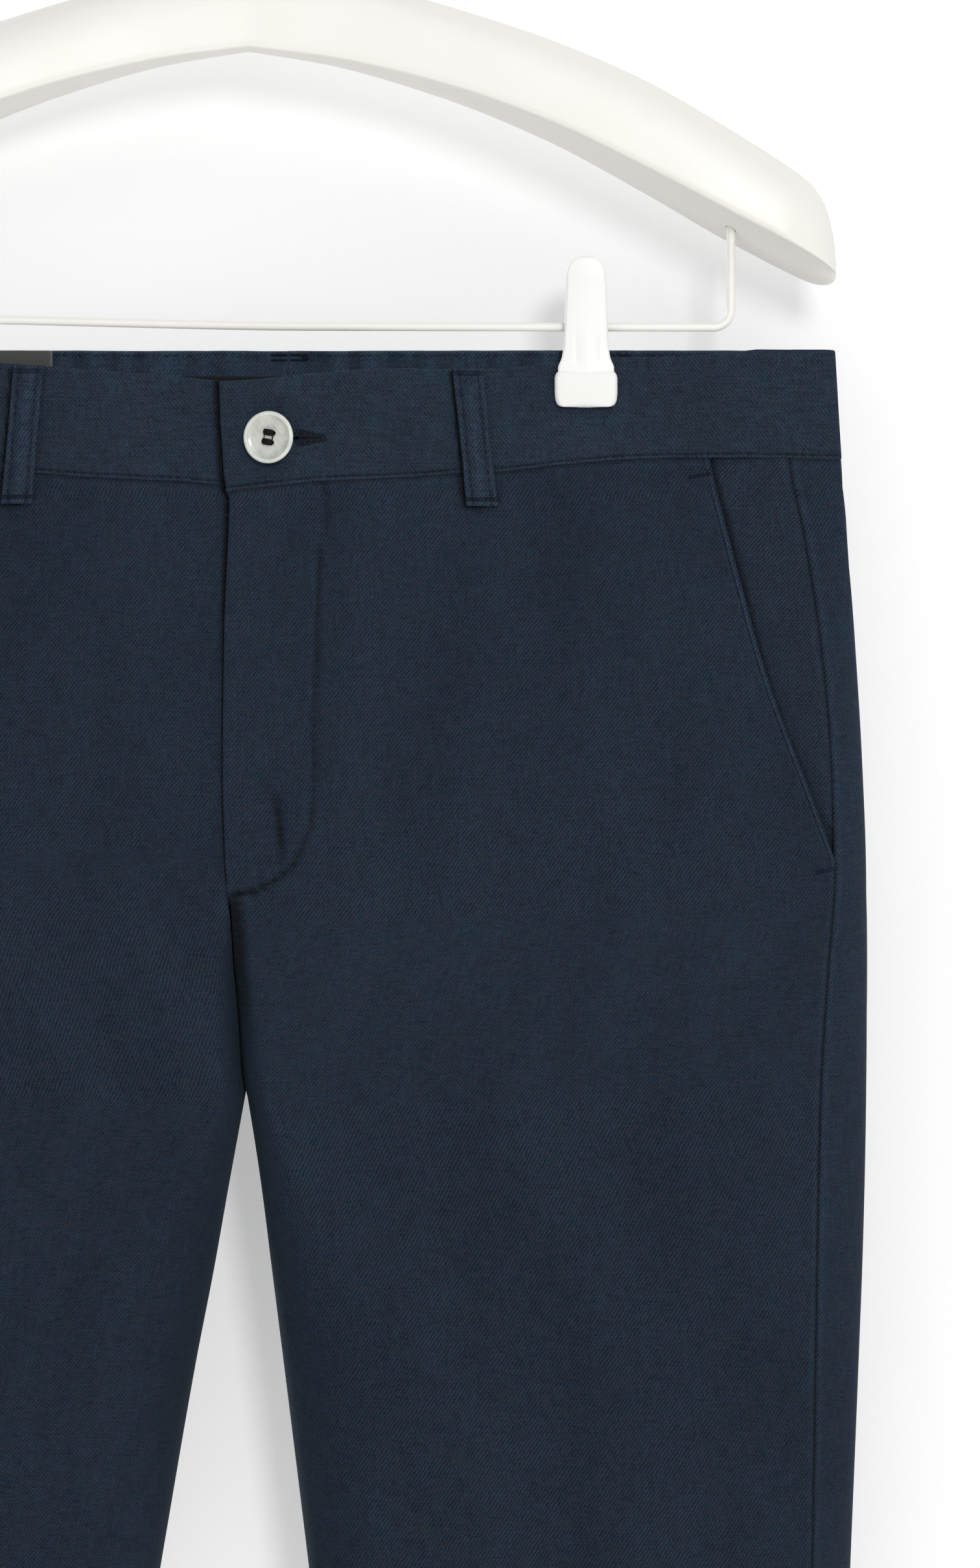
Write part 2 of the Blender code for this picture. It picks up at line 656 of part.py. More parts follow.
def build_hanger_body():
    bm = bmesh.new()
    rings = []
    for station in ARM_STATIONS:
        rings.append([bm.verts.new((x * MM, y * MM, (WAIST_Z + z) * MM)) for x, y, z in arm_ring(station)])
    for a, b in zip(rings, rings[1:]):
        for j in range(len(a)):
            k = (j + 1) % len(a)
            bm.faces.new([a[j], a[k], b[k], b[j]])
    tip = bm.verts.new((ARM_END * MM, 0, (WAIST_Z + ARM["low"][-1]) * MM))
    last = rings[-1]
    for j in range(len(last)):
        bm.faces.new([last[j], last[(j + 1) % len(last)], tip])
    body = add_bmesh("hanger_body", bm, "hanger_plastic", sharp=1.2)
    mirror = body.modifiers.new("mirror", "MIRROR")
    mirror.merge_threshold = 0.00005
    smooth = body.modifiers.new("round", "SUBSURF")
    smooth.levels = 1
    smooth.render_levels = 1
    sockets = (
        (0, HOOK_RADIUS, NECK_SOCKET, 170),
        (BAR_HALF, BAR_RADIUS, 30, BAR_SOCKET),
        (-BAR_HALF, BAR_RADIUS, 30, BAR_SOCKET),
    )
    for x, radius, low, high in sockets:
        middle = (x, 0, WAIST_Z + (low + high) / 2)
        boolean(body, cylinder(radius + TOUCH, high - low, middle, sides=14), "DIFFERENCE")


HOOK_RADIUS = 1.9
HOOK_INNER = 20.0
HOOK_FROM = -62  # degrees, where the stem joins the hook's round
HOOK_SWEEP = 256
NECK_SOCKET = 120.0  # bottom of the stem's socket in the hanger, above the waist
BAR_SOCKET = 62.0  # top of the trouser bar's sockets, above the waist


def tube(name, points, radius, finish, resolution=2):
    curve = bpy.data.curves.new(name, "CURVE")
    curve.dimensions = "3D"
    curve.bevel_depth = radius * MM
    curve.bevel_resolution = resolution
    curve.use_fill_caps = True
    spline = curve.splines.new("POLY")
    spline.points.add(len(points) - 1)
    for point, co in zip(spline.points, points):
        point.co = (*[value * MM for value in co], 1)
    return add_object(name, curve, finish)


def bezier(start, start_pull, end_pull, end, share):
    weights = ((1 - share) ** 3, 3 * share * (1 - share) ** 2, 3 * share**2 * (1 - share), share**3)
    points = (start, start_pull, end_pull, end)
    return [sum(w * p[k] for w, p in zip(weights, points)) for k in range(3)]


def build_hook():
    """A stem out of the hanger's neck that swings aside and arcs over the rail."""
    radius = HOOK_INNER + HOOK_RADIUS
    stem_z = WAIST_Z + NECK_SOCKET + TOUCH
    join = math.radians(HOOK_FROM)
    join_at = (radius * math.cos(join), 0, -HOOK_INNER + radius * math.sin(join))
    along = (-math.sin(join), 0, math.cos(join))
    swing_from = (0, 0, WAIST_Z + 151)
    pull = 8.0
    points = [(0, 0, stem_z), (0, 0, (stem_z + swing_from[2]) / 2)]
    for step in range(6):
        end_pull = [join_at[k] - pull * along[k] for k in range(3)]
        start_pull = (0, 0, swing_from[2] + pull)
        points.append(bezier(swing_from, start_pull, end_pull, join_at, step / 6))
    turns = 24
    for step in range(turns + 1):
        angle = join + step * math.radians(HOOK_SWEEP) / turns
        points.append((radius * math.cos(angle), 0, -HOOK_INNER + radius * math.sin(angle)))
    tube("hanger_hook", points, HOOK_RADIUS, "steel")


def build_bar():
    """The trouser bar: two uprights out of the arms and a run across, bent at the corners."""
    points = []
    for side in (-1, 1):
        drop = at(BAR_DROP, "drop", side * BAR_HALF, "x")
        corner_z = WAIST_Z - drop + BAR_BEND
        upright = [(side * BAR_HALF, 0, WAIST_Z + BAR_SOCKET - 1), (side * BAR_HALF, 0, corner_z)]
        for step in range(1, 6):
            angle = step * math.pi / 10
            upright.append((side * (BAR_HALF - BAR_BEND * (1 - math.cos(angle))), 0,
                            corner_z - BAR_BEND * math.sin(angle)))
        if side < 0:
            points += upright
            for x in (-130, -91, -30, 28, 90, 130):
                points.append((x, 0, WAIST_Z - at(BAR_DROP, "drop", x, "x")))
        else:
            points += upright[::-1]
    tube("trouser_bar", points, BAR_RADIUS, "coated_wire")


# A clip arm, from its rounded top to the jaw: half width, and its outer and inner distance
# from the cloth's middle plane. Heights are above the bar.
CLIP_ARM = {
    "height": (25.5, 24.6, 22.4, 19.0, 14.0, 0.0, -6.5, -11.5, -15.5, -18.0),
    "half_width": (1.2, 4.2, 6.4, 7.4, 7.6, 8.1, 8.3, 9.0, 10.4, 10.4),
    "outer": (9.0, 9.2, 9.2, 9.0, 8.4, 7.6, 7.3, 7.2, 7.2, 7.2),
    "inner": (7.4, 6.9, 6.6, 6.3, 5.8, 5.0, 5.0, 5.2, 5.2, 5.2),
}
PAD = {
    "height": (-16.2, -17.4, -19.0, -24.0, -28.0, -29.4, -30.0),
    "half_width": (10.2, 11.2, 11.65, 11.65, 11.4, 10.4, 8.6),
}
JAW_HALF = 3.3
PAD_OUTER = 7.6


def build_clips():
    for side, word in ((1, "left"), (-1, "right")):
        middle = side * CLIP_ACROSS
        bar_z = WAIST_Z - at(BAR_DROP, "drop", middle, "x")
        for face, sign in (("front", -1), ("back", 1)):
            outer, inner = [], []
            for i, height in enumerate(CLIP_ARM["height"]):
                half = CLIP_ARM["half_width"][i]
                xs = [middle + half * share for share in (-1, -0.5, 0, 0.5, 1)]
                bulge = (0.9, 0.25, 0, 0.25, 0.9)
                outer.append([(x * MM, sign * (CLIP_ARM["outer"][i] - b) * MM, (bar_z + height) * MM)
                              for x, b in zip(xs, bulge)])
                inner.append([(x * MM, sign * CLIP_ARM["inner"][i] * MM, (bar_z + height) * MM) for x in xs])
            arm = wall("clip_%s_%s_arm" % (word, face), outer, inner, "clip_plastic")
            boolean(arm, block((11, 5.6, 6), (middle, sign * 3.2, bar_z)), "UNION")
            groove = cylinder(BAR_RADIUS + TOUCH, 30, (middle, 0, bar_z), (0, math.pi / 2, 0), 16)
            boolean(arm, groove, "DIFFERENCE")

            outer, inner = [], []
            for height, half in zip(PAD["height"], PAD["half_width"]):
                xs = [middle + half * share for share in (-1, -0.5, 0, 0.5, 1)]
                bulge = (1.0, 0.15, 0, 0.15, 1.0)
                outer.append([(x * MM, sign * (PAD_OUTER - b) * MM, (bar_z + height) * MM)
                              for x, b in zip(xs, bulge)])
                inner.append([(x * MM, sign * (JAW_HALF + 0.3) * MM, (bar_z + height) * MM) for x in xs])
            pad = wall("clip_%s_%s_pad" % (word, face), outer, inner, "clip_pad")
            low, high = CLIP_ARM["height"][-1] - TOUCH, -10.0
            size = (2 * (CLIP_ARM["half_width"][-1] + TOUCH) + 0.4, 2.6 + 2 * TOUCH, high - low)
            socket = block(size, (middle, sign * 6.3, bar_z + (low + high) / 2))
            boolean(pad, socket, "DIFFERENCE")
        build_clip_spring("clip_%s_spring" % word, middle, bar_z)


def build_clip_spring(name, middle, bar_z):
    """A bent leaf that sits on the bar and presses the two handles apart."""
    sheet, half = 0.7, 4.5
    path = [(-5.2, 18.5), (-4.6, 11.5), (-3.4, 6.2), (-1.6, 3.9), (0, 3.4), (1.6, 3.9), (3.4, 6.2),
            (4.6, 11.5), (5.2, 18.5)]
    outer, inner = [], []
    for k, (y, z) in enumerate(path):
        before, after = path[max(0, k - 1)], path[min(len(path) - 1, k + 1)]
        along = (after[0] - before[0], after[1] - before[1])
        size = math.hypot(*along)
        normal = (-along[1] / size * sheet, along[0] / size * sheet)
        ends = (middle - half, middle + half)
        outer.append([(x * MM, y * MM, (bar_z + z) * MM) for x in ends])
        inner.append([(x * MM, (y + normal[0]) * MM, (bar_z + z + normal[1]) * MM) for x in ends])
    wall(name, outer, inner, "steel")


build_fronts_and_backs()
build_waistband()
build_fly_shield()
build_zip()
build_pockets()
build_belt_loops()
build_lining_and_label()
build_button()
build_hanger_body()
build_hook()
build_bar()
build_clips()
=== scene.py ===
"""Linen bermuda shorts on a clip hanger: cloth, stitching, button, hanger, light and camera.

Sizes are in millimetres. "drop" is how far a point hangs below the back waistband's top edge,
and "across" how far it is from the middle, outward on the side it is on. The wearer's left is +X
and the front is -Y."""
import math

import bmesh
import bpy
import numpy as np
from mathutils import Matrix, Vector
from mathutils.bvhtree import BVHTree


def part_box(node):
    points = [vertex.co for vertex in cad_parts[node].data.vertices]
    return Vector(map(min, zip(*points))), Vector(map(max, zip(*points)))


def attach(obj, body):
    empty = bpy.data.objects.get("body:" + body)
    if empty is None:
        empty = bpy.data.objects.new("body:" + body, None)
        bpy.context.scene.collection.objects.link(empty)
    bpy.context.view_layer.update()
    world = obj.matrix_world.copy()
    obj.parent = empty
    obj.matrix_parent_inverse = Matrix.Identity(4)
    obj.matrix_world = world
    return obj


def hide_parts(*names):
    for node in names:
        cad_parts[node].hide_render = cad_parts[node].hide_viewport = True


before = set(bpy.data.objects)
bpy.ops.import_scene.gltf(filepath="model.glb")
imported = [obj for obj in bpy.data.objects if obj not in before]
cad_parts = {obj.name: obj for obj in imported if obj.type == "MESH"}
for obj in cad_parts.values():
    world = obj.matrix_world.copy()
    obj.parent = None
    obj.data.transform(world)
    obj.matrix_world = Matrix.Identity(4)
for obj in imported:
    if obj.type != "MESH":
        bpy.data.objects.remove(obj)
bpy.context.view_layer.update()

MM = 0.001

# ---------------------------------------------------------------- sizes

WAIST_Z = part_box("waistband_left")[1].z / MM  # top edge of the back waistband
HEM_DROP = WAIST_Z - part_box("back_left")[0].z / MM
CROTCH_DROP = 271.4
CLIP_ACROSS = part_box("clip_left_front_pad")[0].x / MM + 11.65
BUTTON_LOW, BUTTON_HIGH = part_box("button")
BUTTON_X = (BUTTON_LOW.x + BUTTON_HIGH.x) / 2 / MM
BUTTON_DROP = WAIST_Z - (BUTTON_LOW.z + BUTTON_HIGH.z) / 2 / MM

CLOTH = 1.6  # wall of the panels
HEM = 2.8  # wall of the hem, where the cloth is turned up inside
HEM_DEEP = 30.0
BAND = 2.0  # wall of the waistband, which is folded double
BAND_PROUD = 0.6  # how far the waistband stands out from the panels below it
SEAM_LAP = 0.5  # how far two edges run past each other in a seam
UNDER_BAND = 0.8  # how far the panels run up under the waistband's edge
TOUCH = 0.3

AT_CLIP = 2.7  # half the depth of the waist where the clips nip it
CLIP_REACH = 13.0
WAIST_BOW = {"front": 8.5, "back": 3.0}
SIDE_ACROSS = 216.0
SIDE_BOW = 1.2

BODY = {
    "drop": (0, 40, 70, 105, 150, 190, 230, 275, 325, 372, 440, 511),
    "silhouette": (215.5, 217.9, 220.2, 222.8, 225.5, 227.0, 227.4, 227.0, 226.0, 224.3, 221.5, 218.5),
    "side_seam": (197.5, 198.6, 204.2, 209.6, 213.6, 214.9, 212.0, 209.3, 208.2, 207.4, 206.3, 205.3),
    "front_depth": (11, 13, 17, 21, 24, 26, 27, 28, 29, 30, 31, 31),
    "back_depth": (8, 14, 20, 27, 32, 34, 34, 33, 33, 32, 31, 31),
    "side_roll": (5, 10, 28, 48, 64, 74, 75, 75, 75, 75, 72, 68),
}
FLY_EDGE = {
    "drop": (0, 13, 52, 55, 69, 99, 152, 183, 199, 210, 225, 237, 252, 264, 271.4),
    "x": (-10.2, -10, -7.6, -6.2, -6.6, -7.8, -8.2, -7.4, -6.6, -5.8, -5.2, -4.0, -2.7, -1.8, -0.6),
}
BACK_SEAM = {"drop": (0, 60, 160, 271.4), "x": (14.7, 12, 6, -0.6)}
LEG_INNER = {
    "drop": (271.4, 290, 307, 338, 372, 440, 511),
    "left": (-0.6, 2.4, 4.9, 8.8, 13.1, 21.5, 30),
    "right": (0.6, 4.0, 7.1, 12.6, 19.2, 31, 43),
}
# How square the inner edge of a half stands: 1 runs flat to the other half, 0 rolls round the leg.
RISE = {
    "drop": (0, 180, 199, 212, 228, 250, 271.4),
    "front": (1, 1, 1, 0.78, 0.5, 0.22, 0),
    "back": (1, 1, 0.93, 0.8, 0.56, 0.25, 0),
}
INNER_ROLL = {"drop": (0, 275, 295, 330, 372, 511), "radius": (9, 9, 14, 30, 42, 50)}

BAND_TOP = {
    1: {
        "across": (-10, 2, 26, 56, 86, 99, 115, 133, 162, 177, 186),
        "drop": (12.4, 11.7, 9.3, 7.4, 7.2, 6.2, 4.5, 3.1, 2.3, 1.0, 0),
    },
    -1: {
        "across": (-32, -10, 10, 31, 56, 74, 91, 115, 133, 162, 177, 186),
        "drop": (13.5, 13, 11.9, 9.8, 7.9, 6.2, 5.0, 4.2, 3.1, 2.3, 1.0, 0),
    },
}
BAND_SEAM = {
    "across": (-10, 0, 15, 26, 40, 60, 78, 92, 116, 149, 180, 217),
    "drop": (52.8, 51.6, 50.0, 48.9, 48.3, 47.2, 45.8, 45.2, 42.4, 40.2, 39.9, 40.5),
}
BACK_BAND_SEAM = 40.5

POCKET_EDGE = {
    "drop": (38, 61, 89, 124, 155, 186.5),
    "across": (168.7, 174.3, 181.4, 191.2, 203.0, 214.9),
}
FACING_UNDER = 13.0  # how far the facing runs on behind the pocket's edge
SEAM_UNDER = 2.5  # and behind the back panel's edge
POCKET_BAG = {"drop": (60, 95, 150, 200, 232, 246), "inner": (128, 124, 120, 122, 134, 158)}

FLY_LIFT = 3.0  # what the overlap stands out over the right front
FLY_LIFT_END = (35.0, 66.0)
FLY_LIFT_DROP = (189.0, 199.0)
SHIELD_ACROSS = 34.0

STITCH = 1.9  # what shows of one stitch
POCKET_ROW = 2.1  # from the pocket's edge to its row of stitches
WAIST_ROW = 1.45  # from the waistband's low edge to its row
PITCH = 2.9  # from one stitch to the next

# The row of stitches that holds the fly: down beside the zip, then round to the bartack.
FLY_STITCH = (
    (28.8, 50), (28.8, 66), (27.3, 74.5), (26.5, 91), (25.5, 114), (25, 137), (25, 160), (23.6, 176),
    (20.5, 183), (17.4, 189), (12.9, 193), (8.3, 196), (3.1, 198.6), (-4.5, 199.4),
)
# Each loop: side, face, across at the top and at the bottom, drop of both ends.
LOOPS = {
    "belt_loop_front_left": (1, "front", 80.7, 86.0, 6.9, 57.9),
    "belt_loop_front_right": (-1, "front", 80.2, 84.6, 6.0, 57.0),
    "belt_loop_side_left": (1, "back", 208.0, 213.0, 1.5, 60.0),
    "belt_loop_side_right": (-1, "back", 208.0, 213.0, 1.5, 60.0),
    "belt_loop_centre_back": (1, "back", 14.7, 14.7, 1.0, 58.0),
}
LOOP_WIDTH = 11.8
LOOP_WALL = 1.3
LOOP_STITCH = 2.4  # from the loop's edge to its row of stitches

BAND_MIDDLE = 22.0  # the drop at which the waistband is measured round
UNDERLAP = 32.0  # how far its right half runs on under the overlap
TOP_ROW = 1.9  # from the waistband's top edge to its row
THREAD = 0.24  # radius of the sewing thread, a little over the real 0.15 so that it shows
HEM_PITCH, LOOP_PITCH = 3.4, 2.6
TAPE = 0.7  # thickness of the zip's tape
BACK_PAINTED_LIGHT = 1.1  # painted light: the backs are drawn a little lighter, and the inner face of the back waist, which little light reaches, far lighter
INNER_FACE_PAINTED_LIGHT = 1.45  # and so is the reverse of the cloth, inside the back of the waist

SIDES = ((1, "left"), (-1, "right"))

# ---------------------------------------------------------------- curves through the sizes


def at(table, column, value, key="drop"):
    """A column of a table, eased from row to row without overshooting."""
    x, y = (np.array(table[name], float) for name in (key, column))
    rate = np.diff(y) / np.diff(x)
    agree = rate[:-1] * rate[1:] > 0
    mean = 2 * rate[:-1] * rate[1:] / np.where(agree, rate[:-1] + rate[1:], 1)
    slope = np.concatenate([rate[:1], np.where(agree, mean, 0), rate[-1:]])
    value = np.clip(value, x[0], x[-1])
    i = np.clip(np.searchsorted(x, value, side="right") - 1, 0, len(x) - 2)
    span = x[i + 1] - x[i]
    t = (value - x[i]) / span
    return (
        y[i] * (1 + 2 * t) * (1 - t) ** 2 + y[i + 1] * t * t * (3 - 2 * t)
        + span * (slope[i] * t * (1 - t) ** 2 - slope[i + 1] * t * t * (1 - t))
    )


def ease(value, start, end):
    """0 before start, 1 after end, and smooth between them."""
    share = np.clip((value - start) / (end - start), 0, 1)
    return share * share * (3 - 2 * share)


def bell(away, wide):
    """1 on a line, and gone a little past wide from it."""
    return np.exp(-((away / wide) ** 2))


def ridges(away, *rows):
    """Ridges and troughs beside an edge: how far off each lies, its half width and its height."""
    return sum(height * bell(away - place, wide) for place, wide, height in rows)


def length_along(points):
    """How far each point of a line is along it."""
    return np.concatenate([[0], np.cumsum(np.linalg.norm(np.diff(points, axis=0), axis=1))])


def pinch_depth(across, face):
    """Half the depth of the waist, nipped at the clips and bowed between them."""
    flat = CLIP_ACROSS - CLIP_REACH
    between = np.clip(1 - (across / flat) ** 2, 0, 1)
    clear = CLIP_ACROSS + CLIP_REACH
    past = np.clip((abs(across) - clear) / (SIDE_ACROSS - clear), 0, 1)
    return AT_CLIP + WAIST_BOW[face] * between**1.6 + SIDE_BOW * np.sin(math.pi * past) ** 2


def depth(across, drop, face):
    """How far a face hangs from the middle plane: nipped at the waist, full below it."""
    waist_left = 1 - ease(drop, 14, 150)
    return waist_left * pinch_depth(across, face) + (1 - waist_left) * at(BODY, face + "_depth", drop)


def inner_edge(side, drop, face):
    """Where a half of the garment starts: its rise down to the crotch, then its inseam."""
    if face == "front":
        tucked = 4.0 * (1 - ease(drop, 184, 190)) if side < 0 else 0.0
        rise = side * at(FLY_EDGE, "x", drop) - SEAM_LAP / 2 - tucked
    else:
        rise = side * at(BACK_SEAM, "x", drop) - SEAM_LAP / 2
    leg = at(LEG_INNER, "left" if side > 0 else "right", drop)
    return np.where(drop >= CROTCH_DROP, leg, rise)


def section(side, drop, turn, inset=0.0):
    """across and y on a half's level section. Turn 0 is the front's inner edge, 3 the silhouette
    and 6 the back's inner edge: a roll, a flat span and a roll on each face."""
    drop, turn = np.broadcast_arrays(np.asarray(drop, float), np.asarray(turn, float))
    front = turn <= 3
    step = np.where(front, turn, 6 - turn)
    inner = np.where(front, inner_edge(side, drop, "front"), inner_edge(side, drop, "back"))
    rise = np.where(front, at(RISE, "front", drop), at(RISE, "back", drop))
    roll_in = at(INNER_ROLL, "radius", drop)
    roll_out, outer = at(BODY, "side_roll", drop), at(BODY, "silhouette", drop)
    inset_in = inset * (1 - rise)
    near = np.clip(step, 0, 1) * math.pi / 2
    far = (3 - np.clip(step, 2, 3)) * math.pi / 2
    across = np.select(
        [step < 1, step < 2],
        [
            inner + inset_in + (roll_in - inset_in) * (1 - np.cos(near)),
            inner + roll_in + (step - 1) * (outer - roll_out - inner - roll_in),
        ],
        outer - inset - (roll_out - inset) * (1 - np.cos(far)),
    )
    shape = np.select([step < 1, step < 2], [rise + (1 - rise) * np.sin(near), 1.0], np.sin(far))
    deep = np.where(front, depth(across, drop, "front"), depth(across, drop, "back"))
    out = (deep - inset) * shape
    return across, np.where(front, -1, 1) * (out - SEAM_LAP / 2 * (1 - shape))


def turn_at(side, drop, across, face="front"):
    """The turn of the section that lies this far across."""
    drop, across = np.broadcast_arrays(np.asarray(drop, float), np.asarray(across, float))
    inner, roll_in = inner_edge(side, drop, face), at(INNER_ROLL, "radius", drop)
    roll_out, outer = at(BODY, "side_roll", drop), at(BODY, "silhouette", drop)
    near = np.arccos(1 - np.clip((across - inner) / roll_in, 0, 1)) / (math.pi / 2)
    flat = 1 + (across - inner - roll_in) / (outer - roll_out - inner - roll_in)
    far = 3 - np.arccos(1 - np.clip((outer - across) / roll_out, 0, 1)) / (math.pi / 2)
    step = np.select([across <= inner + roll_in, across < outer - roll_out], [near, flat], far)
    return step if face == "front" else 6 - step


def overlap_lift(side, across, drop):
    """The wearer's left front stands out where it laps over the right, and falls back gently
    away from the bartack that holds it down."""
    if side < 0:
        return 0.0 * across
    start, end = FLY_LIFT_DROP
    gone = ease((drop - start) / (end - start + 45 * ease(across, 4, 30)), 0, 1)
    return FLY_LIFT * (1 - ease(across, *FLY_LIFT_END)) * (1 - gone)


def loop_painted_shadow(side, across, drop):
    """1 in the narrow strip along a front belt loop's -X edge, where the loop's shadow is painted onto the
    cloth.
    """
    _, _, top_across, low_across, top, low = LOOPS["belt_loop_front_" + dict(SIDES)[side]]
    middle = top_across + (drop - top) / (low - top) * (low_across - top_across)
    past_edge = side * (across - middle) + LOOP_WIDTH / 2
    ends = ease(drop, top, top + 3) * (1 - ease(drop, low - 1, low + 2))
    return ease(past_edge, -1.5, -0.6) * (past_edge < 6) * ends


def band_seam(across, turn):
    """The drop of the waistband's low edge, on the front face or the back one."""
    return np.where(turn > 3, BACK_BAND_SEAM, at(BAND_SEAM, "drop", across, "across"))


# ---------------------------------------------------------------- folds and seams

# Soft folds of the hanging cloth: where each starts and ends (across, drop), its half width,
# its height (a trough is below 0) and how far its middle bows outward.
FOLDS = {
    (1, "front"): (
        (45, 56, 38, 150, 9, 0.55, 2), (70, 60, 62, 112, 8, -0.5, 0), (86, 62, 82, 122, 9, 0.5, -2),
        (150, 50, 138, 104, 14, 0.7, 3), (172, 108, 158, 170, 12, -0.8, -3), (66, 138, 78, 232, 12, 0.8, 4),
        (56, 222, 84, 404, 15, -1.0, -5), (98, 330, 92, 480, 12, -0.9, 2), (126, 236, 140, 425, 20, 1.0, 6),
        (188, 222, 200, 266, 12, -0.8, 0), (184, 316, 176, 450, 13, -0.9, -3), (18, 286, 44, 470, 12, 0.9, 4),
        (8, 203, 30, 266, 8, 0.7, 2), (36, 203, 66, 254, 12, -0.6, 3), (112, 130, 104, 214, 13, -0.5, 3),
        (205, 286, 202, 334, 5, -0.4, 0), (140, 440, 150, 508, 12, -0.7, 0), (64, 440, 56, 508, 10, 0.6, 0),
    ),
    (-1, "front"): (
        (60, 56, 66, 122, 10, 0.7, 2), (30, 88, 40, 138, 9, -0.8, 2), (42, 142, 62, 254, 12, -0.9, -3),
        (74, 146, 86, 334, 15, 0.9, 4), (28, 270, 40, 334, 9, -0.8, 0), (58, 326, 66, 476, 14, -1.0, 3),
        (10, 203, 28, 268, 8, 0.7, 2), (92, 376, 118, 506, 15, 0.9, -4), (148, 52, 140, 98, 13, 0.7, 2),
        (170, 110, 156, 166, 12, -0.8, -3), (132, 240, 143, 434, 18, 0.9, 5),
        (186, 226, 198, 270, 12, -0.8, 0), (181, 326, 175, 446, 12, -0.9, -2),
        (108, 120, 98, 200, 12, -0.5, 2), (26, 430, 34, 508, 8, 0.6, 0),
    ),
    (1, "back"): (
        (26, 58, 44, 150, 11, 0.8, 4), (58, 62, 50, 196, 12, -0.9, -3), (104, 56, 116, 152, 13, -0.8, 4),
        (150, 60, 160, 190, 14, 0.8, 3), (16, 216, 52, 330, 12, -1.1, 6), (78, 196, 96, 412, 16, 1.1, 5),
        (120, 262, 128, 470, 14, -1.0, -4), (158, 226, 168, 430, 16, 0.9, 4), (40, 352, 56, 500, 11, 0.8, 2),
        (190, 120, 198, 220, 10, -0.6, 0), (86, 420, 80, 508, 10, -0.7, 0),
    ),
    (-1, "back"): (
        (30, 62, 52, 160, 12, 0.9, 4), (66, 56, 60, 170, 11, -0.8, -2), (112, 60, 108, 176, 14, 0.8, 3),
        (146, 58, 158, 166, 12, -0.8, 4), (18, 220, 58, 322, 11, -1.0, 6), (86, 210, 92, 400, 15, -0.9, 4),
        (116, 240, 132, 452, 17, 1.1, -5), (166, 238, 160, 462, 14, -0.9, 3), (44, 340, 66, 492, 12, 0.9, 3),
        (194, 130, 188, 240, 11, 0.6, 0), (128, 440, 140, 508, 11, -0.7, 0),
    ),
}
RIPPLE_PHASE = {(1, "front"): 0.4, (-1, "front"): 2.6, (1, "back"): 4.1, (-1, "back"): 5.5}
# Slow unevenness of linen that is never pressed quite flat: wavelength, direction and height.
RIPPLES = ((64, 0.25, 0.34), (39, 1.1, 0.2), (27, -0.5, 0.15), (17, 0.15, 0.07), (11.5, 1.35, 0.035))


def fold(across, drop, from_across, from_drop, to_across, to_drop, half, height, bow):
    """One soft fold, in the terms of FOLDS, that fades towards both its ends."""
    run, fall = to_across - from_across, to_drop - from_drop
    length = math.hypot(run, fall)
    along = ((across - from_across) * run + (drop - from_drop) * fall) / length**2
    curve = np.sin(math.pi * np.clip(along, 0, 1))
    off = ((across - from_across) * fall - (drop - from_drop) * run) / length - bow * curve
    return height * bell(off, half) * curve**0.7


def ripple(across, drop, phase):
    """The cloth's slow unevenness: a few crossing waves that wander."""
    total = 0
    for i, (length, angle, height) in enumerate(RIPPLES):
        wander = 0.9 * np.sin(drop / (31 + 7 * i) + phase) + 0.7 * np.sin(across / (23 + 9 * i) - phase)
        run = across * math.cos(angle) + drop * math.sin(angle)
        total = total + height * np.sin(2 * math.pi * run / length + wander + 1.7 * i + phase)
    return total


def pucker(along, away, length, height, reach):
    """Small gathers that a row of stitches pulls into the cloth, uneven and gone by reach."""
    phase = 1.3 * np.sin(along / 9.7) + 0.9 * np.sin(along / 4.3 + 1)
    uneven = 0.65 + 0.35 * np.sin(along / 13.1 + 2)
    return height * uneven * np.sin(2 * math.pi * along / length + phase) * bell(away, reach)


def dimples(along, away, reach):
    """Where each stitch pulls the cloth in: 1 at a stitch hole, 0 between and beyond reach."""
    uneven = 0.75 + 0.25 * np.sin(along / 5.3 + 1.1)
    return uneven * (0.5 + 0.5 * np.sin(2 * math.pi * along / PITCH)) * bell(away, reach)


def off_path(x, drop, path):
    """How far each point is from a line of stitches, and how far along the line its foot is."""
    nearest, foot, run = np.full(np.shape(x), 1e9), np.zeros(np.shape(x)), 0.0
    for (x0, d0), (x1, d1) in zip(path, path[1:]):
        length = math.hypot(x1 - x0, d1 - d0)
        share = np.clip(((x - x0) * (x1 - x0) + (drop - d0) * (d1 - d0)) / length**2, 0, 1)
        away = np.hypot(x - x0 - share * (x1 - x0), drop - d0 - share * (d1 - d0))
        foot = np.where(away < nearest, run + share * length, foot)
        nearest = np.minimum(away, nearest)
        run += length
    return nearest, foot


def drape(side, across, drop, face):
    """How far the cloth stands out from its even form, the same for every layer of a place."""
    total = ripple(across, drop, RIPPLE_PHASE[side, face])
    for row in FOLDS[side, face]:
        total = total + fold(across, drop, *row)
    seam = at(BODY, "side_seam", drop)
    total = total * ease(abs(across - seam), 1, 14) * ease(drop, 42, 66)
    total = total * ease(across - inner_edge(side, drop, face), 0, 14)
    return np.where(across > seam, 0.35 * total, total) if face == "front" else total


# ---------------------------------------------------------------- cloth as thin shells

EDGE_STEPS = np.array((0, 0.12, 0.38, 0.8, 1.5, 2.6))  # rows close together where an edge rounds over
SEAM_STEPS = np.array((0, 0.12, 0.38, 0.75, 1.1, 1.5, 1.9, 2.25, 2.6, 3.0, 3.4, 3.9, 4.6))  # and is sewn


